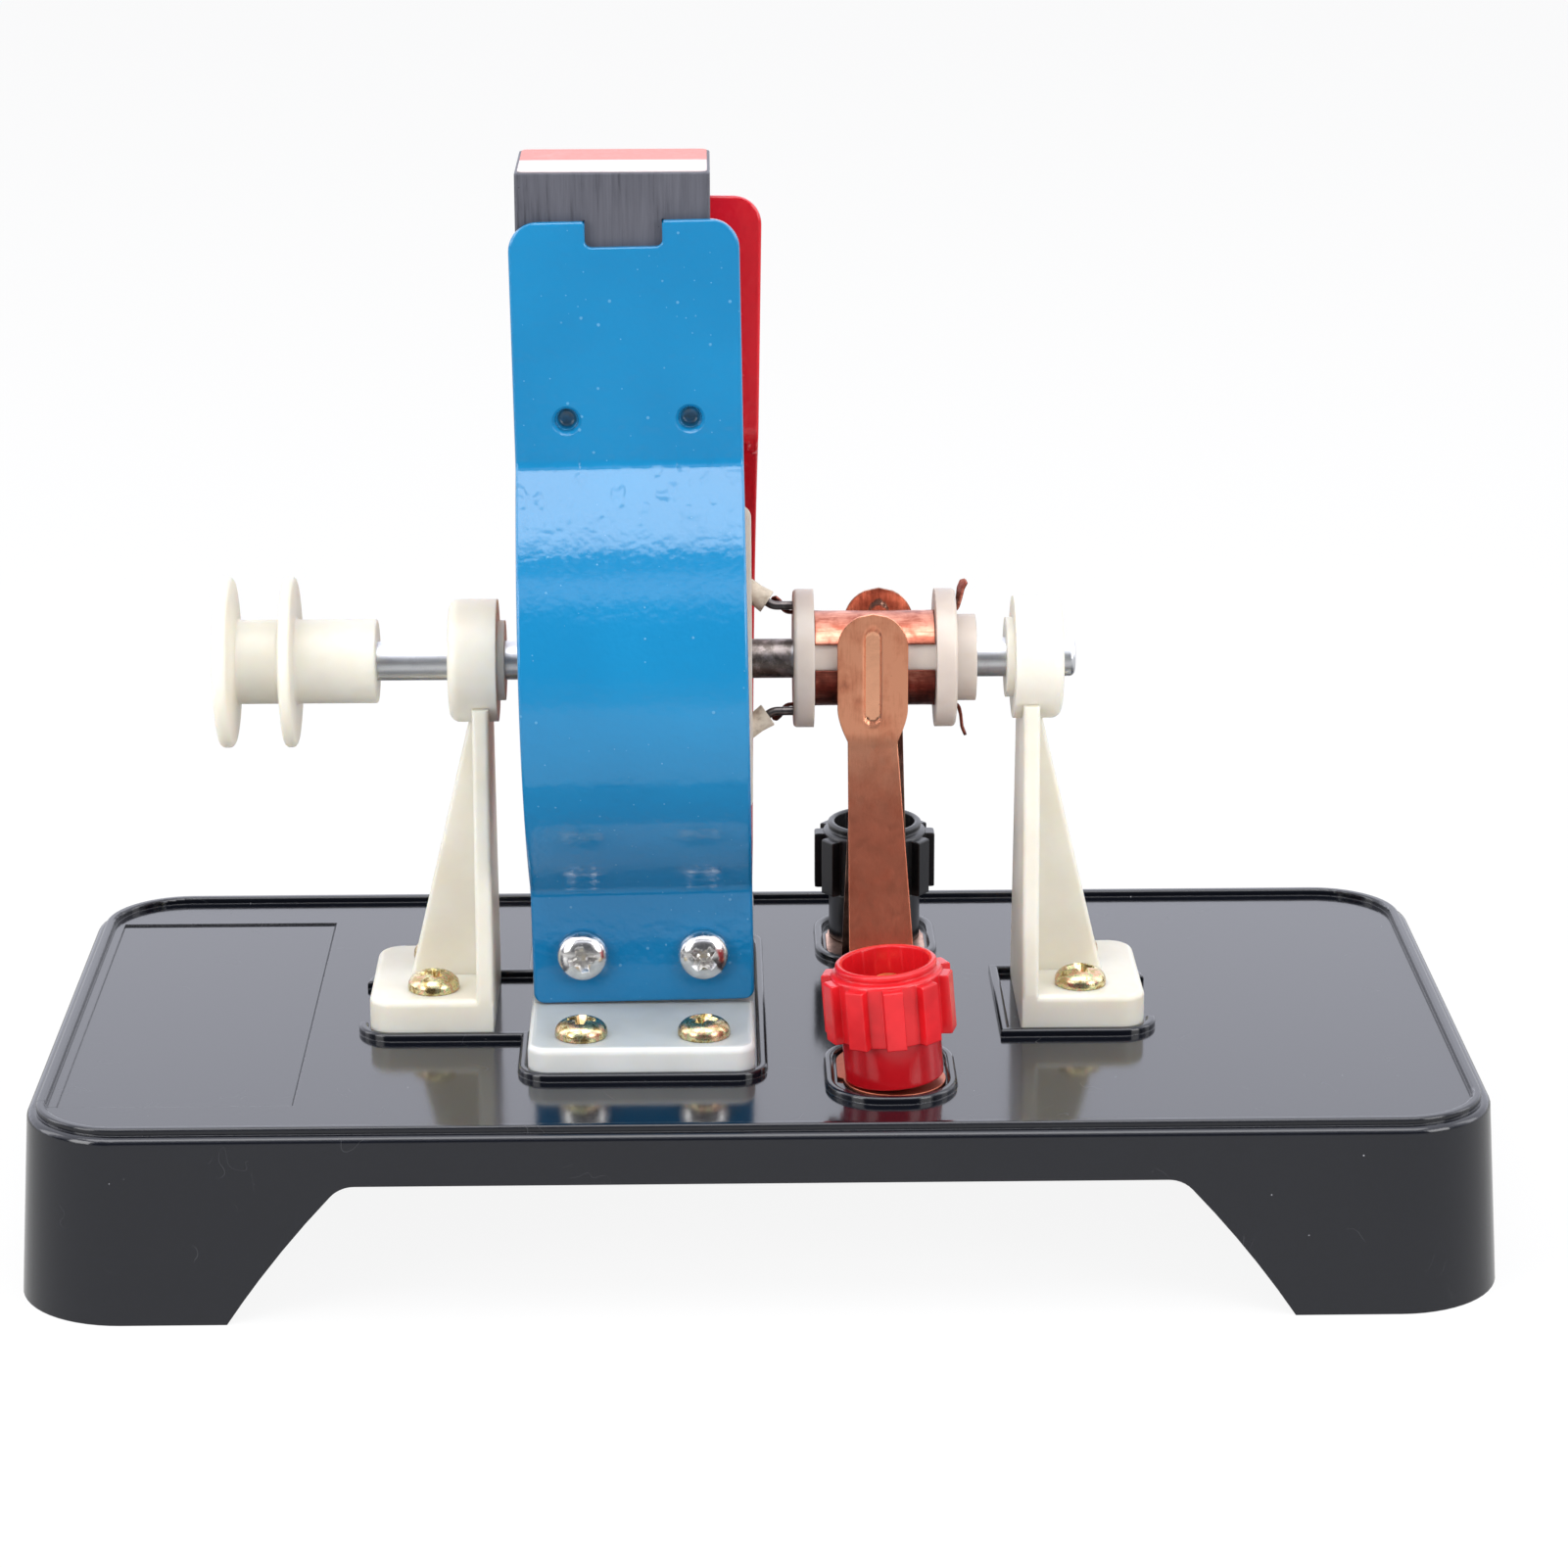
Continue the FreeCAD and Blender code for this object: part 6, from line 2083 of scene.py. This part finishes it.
    def build_sleeve(self, end: End) -> Piece:
        """Slips the flared sleeve over the lead's start.

        Args:
            end: Which lead.

        Returns:
            The piece.
        """
        (start_x, start_z), (bend_x, bend_z) = self.sleeve_start, self.lead_corners[1]
        run = Vector((bend_x - start_x, 0.0, end.value * (bend_z - start_z))) * self.sleeve_share
        profile = rounded([Corner(share * run.length, radius, edge)
                           for share, radius, edge in self.sleeve_profile], True, 4)
        seat = Matrix.Translation((start_x, self.lead_across, SHAFT_HEIGHT + end.value * start_z))
        place = self.at_rest() @ seat @ run.to_track_quat("Z", "Y").to_matrix().to_4x4()
        sleeve = Draft().turned(profile, place, True, 40).piece("sleeve_" + end.word)
        return sleeve.dress(SLEEVE, self.body, "sleeve_cream", ["lead_sleeve_" + end.word])


# ------------------------------------------------------------------------------------------------ the studio
@dataclass(frozen=True)
class Lamp:
    """A rectangular lamp: where it hangs, what it points at and its size in metres, and its watts."""

    name: str
    spot: tuple[float, float, float]
    aim: tuple[float, float, float]
    size: Point
    power: float

    def build(self) -> bpy.types.Object:
        """Hangs the lamp.

        Returns:
            The lamp.
        """
        data = bpy.data.lights.new(self.name, "AREA")
        data.shape = "RECTANGLE"
        data.size, data.size_y = self.size
        data.energy = self.power
        lamp = stand(self.name, data)
        lamp.location = self.spot
        lamp.rotation_euler = (Vector(self.aim) - Vector(self.spot)).to_track_quat("-Z", "Y").to_euler()
        return lamp


LAMPS = (Lamp("overhead softbox", (-0.05, -0.29, 0.85), (-0.05, -0.29, 0.0), (1.0, 0.57), 6.4),
         Lamp("left front softbox", (-0.95, -0.80, 0.50), (0.0, 0.0, 0.06), (0.55, 0.70), 7.0),
         Lamp("right front softbox", (0.95, -0.80, 0.50), (0.0, 0.0, 0.06), (0.55, 0.70), 7.0),
         Lamp("left strip", (-1.1, 0.15, 0.55), (0.0, 0.0, 0.07), (0.35, 0.9), 2.5),
         Lamp("right strip", (1.15, 0.15, 0.6), (0.0, 0.0, 0.07), (0.35, 0.9), 2.5))


@dataclass
class Studio:
    """The floor, the surroundings, the lamps and the camera.

    Angles are in degrees. The bands of light are angles above straight ahead of the front.
    """

    eye: tuple[float, float, float] = (-6.1, -552.4, 221.7)
    yaw: float = 1.005
    pitch: float = 16.908
    roll: float = -0.128
    lens: float = 103.2
    sensor: float = 36.0
    floor_size: float = 12.0
    floor_tones: tuple[Colour, Colour] = ((0.90, 0.90, 0.905), (0.92, 0.92, 0.92))
    floor_seen: float = 0.9
    floor_shine: float = 0.74
    floor_far: float = 0.72
    floor_fade: Point = (-230.0, -430.0)
    sky: Colour = (0.965, 0.985, 1.10)
    sky_peak: float = 4.0
    ambient: float = 0.48
    front_dark: float = 0.10
    band: tuple[float, float, float, float] = (33.0, 38.0, 47.0, 42.0)
    band_shine: float = 1.4
    top_from: Point = (50.0, 60.0)
    back_shine: float = 1.5

    def build(self) -> bpy.types.Object:
        """Builds the studio.

        Returns:
            The camera.
        """
        self.build_floor()
        self.build_world()
        for lamp in LAMPS:
            lamp.build()
        bpy.context.scene.view_settings.view_transform = "Standard"
        return self.build_camera()

    def build_floor(self) -> bpy.types.Object:
        """The pale floor. It keeps a soft shadow, and shows nearly white to the camera.

        Returns:
            The floor.
        """
        half = self.floor_size / 2
        data = bpy.data.meshes.new("floor")
        data.from_pydata([(a, b, 0.0) for a, b in oblong(half, half)], [], [(0, 1, 2, 3)])
        floor = stand("floor", data)
        shader = Shader(bpy.data.materials.new("pale floor"))
        paper = shader.noise(shader.place(), 60.0, 2.0)
        matt = shader.shader_of("ShaderNodeBsdfDiffuse", {"Color": shader.mix(paper, *self.floor_tones)})
        white = shader.shader_of("ShaderNodeEmission", {"Color": (1.0, 1.0, 1.0, 1.0), "Strength": 1.0})
        black = shader.shader_of("ShaderNodeEmission", {"Color": (0.0, 0.0, 0.0, 1.0), "Strength": 0.0})
        camera, glossy = shader.ray("Is Camera Ray"), shader.ray("Is Glossy Ray")
        seen = camera * self.floor_seen + glossy
        lit = shader.shader_of("ShaderNodeMixShader", {0: seen, 1: matt, 2: white})
        away = shader.axis(1)
        dim = 1 - self.floor_shine * (1 - self.floor_far * away.fade(*self.floor_fade))
        shader.end("ShaderNodeOutputMaterial",
                   shader.shader_of("ShaderNodeMixShader", {0: glossy * dim, 1: lit, 2: black}))
        data.materials.append(shader.owner)
        return floor

    def build_world(self) -> None:
        """The sky: bright above and behind, and dark to the front but for one narrow band."""
        world = bpy.data.worlds.new("studio")
        bpy.context.scene.world = world
        shader = Shader(world)
        way = shader.node("ShaderNodeTexCoord", {}, {}).outputs["Generated"]
        parts = shader.node("ShaderNodeSeparateXYZ", {}, {0: Signal(shader, way)})
        depth, height = Signal(shader, parts.outputs[1]), Signal(shader, parts.outputs[2])
        turn = height.math("ARCTAN2", height, 0 - depth) * math.degrees(1.0)
        band = turn.fade(*self.band[:2]) * turn.fade(*self.band[2:])
        shine = self.front_dark + band * self.band_shine + turn.fade(*self.top_from) * self.back_shine
        camera = shader.ray("Is Camera Ray")
        glossy = shader.ray("Is Glossy Ray") + shader.ray("Is Transmission Ray")
        level = self.ambient * (1 - glossy) + glossy * shine
        black, cool, white = (
            shader.shader_of("ShaderNodeBackground", {"Color": (*colour, 1.0), "Strength": strength})
            for colour, strength in (((0.0, 0.0, 0.0), 0.0), (self.sky, self.sky_peak),
                                     ((1.0, 1.0, 1.0), 1.0)))
        lit = shader.shader_of("ShaderNodeMixShader", {0: level * (1 / self.sky_peak), 1: black, 2: cool})
        shown = shader.shader_of("ShaderNodeMixShader", {0: camera, 1: lit, 2: white})
        shader.end("ShaderNodeOutputWorld", shown)

    def build_camera(self) -> bpy.types.Object:
        """Stands the camera.

        Returns:
            The camera.
        """
        yaw, pitch, roll = (math.radians(angle) for angle in (self.yaw, self.pitch, self.roll))
        ahead = Vector((math.sin(yaw) * math.cos(pitch), math.cos(yaw) * math.cos(pitch), -math.sin(pitch)))
        level = Vector((math.cos(yaw), -math.sin(yaw), 0.0))
        over = level.cross(ahead)
        right = level * math.cos(roll) + over * math.sin(roll)
        up = over * math.cos(roll) - level * math.sin(roll)
        data = bpy.data.cameras.new("camera")
        data.lens = self.lens
        data.sensor_width = self.sensor
        data.clip_start, data.clip_end = 0.01, 50.0
        camera = stand("camera", data)
        turn = Matrix((right, up, -ahead)).transposed().to_4x4()
        camera.matrix_world = Matrix.Translation(Vector(self.eye) * METRES) @ turn
        bpy.context.scene.camera = camera
        return camera


def screw_sets() -> list[PanScrews]:
    """The three sets of screws.

    Returns:
        The sets, each with its seats and the way that its heads face.
    """
    up = Vector((0.0, 0.0, 1.0))
    bracket_x, bracket_y, bracket_top = 41.6, 6.3, PANEL + 5.0
    foot_spread, foot_y, foot_top, plate_y = 7.7, 21.4, PANEL + 3.9, 10.1
    signs = (-1, 1)
    field_x = [FIELD_X + sign * foot_spread for sign in signs]
    brackets = [Vector((sign_x * bracket_x, sign_y * bracket_y, bracket_top))
                for sign_x in signs for sign_y in signs]
    feet = [Vector((x, sign_y * foot_y, foot_top)) for x in field_x for sign_y in reversed(signs)]
    plates = [Vector((x, sign_y * plate_y, PLATE_SCREW_Z)) for sign_y in signs for x in field_x]
    outward = [Vector((0.0, sign_y, 0.0)) for sign_y in signs for _ in field_x]
    return [PanScrews("bracket_screws", brackets, [up] * 4, ZINC, "yellow_zinc", 10.0),
            PanScrews("field_foot_screws", feet, [up] * 4, ZINC, "yellow_zinc", 10.0, first_turn=48.0),
            PanScrews("plate_screws", plates, outward, NICKEL, "nickel_steel", 5.2, first_turn=12.0)]


def main() -> None:
    """Builds the motor and its studio, and reports each sub-assembly."""
    logging.basicConfig(level=logging.INFO, format="%(name)s: %(message)s")
    log.info("base and bearings: %d nodes painted", BaseAndBearings().build())
    for screws in screw_sets():
        log.info("screws: %s", screws.build("base").object.name)
    for plate in (PolePlate(Side.FRONT, BLUE_ENAMEL, "blue_paint", lean=-0.85),
                  PolePlate(Side.REAR, RED_ENAMEL, "red_paint", lean=1.0)):
        log.info("pole plate: %s", plate.build("base").object.name)
    log.info("magnet: %s", Magnet().build("magnet").object.name)
    for brush in (Brush(Side.FRONT, head_shift=-1.6, pad_shift=0.5),
                  Brush(Side.REAR, head_shift=-0.4, pad_shift=0.0)):
        log.info("brush: %s", brush.build("base").object.name)
    front = Terminal(Side.FRONT, TERMINAL_RED, COLLAR_RED_SHADED, "terminal_red", collar_foot=0.9,
                     first_rib=21.5, lean=-4.6, shift=0.65)
    rear = Terminal(Side.REAR, TERMINAL_BLACK, TERMINAL_BLACK, "terminal_black", knob_rise=0.7)
    for terminal in (front, rear):
        word = terminal.side.word
        log.info("terminal: %s", terminal.build("base", "knob_" + word, "washer_" + word).object.name)
    log.info("rotor: %d pieces", Rotor().build())
    log.info("camera: %s", Studio().build().name)


def write_sizes() -> None:
    """Updates the view layer."""
    bpy.context.view_layer.update()


if __name__ == "__main__":
    main()
    write_sizes()
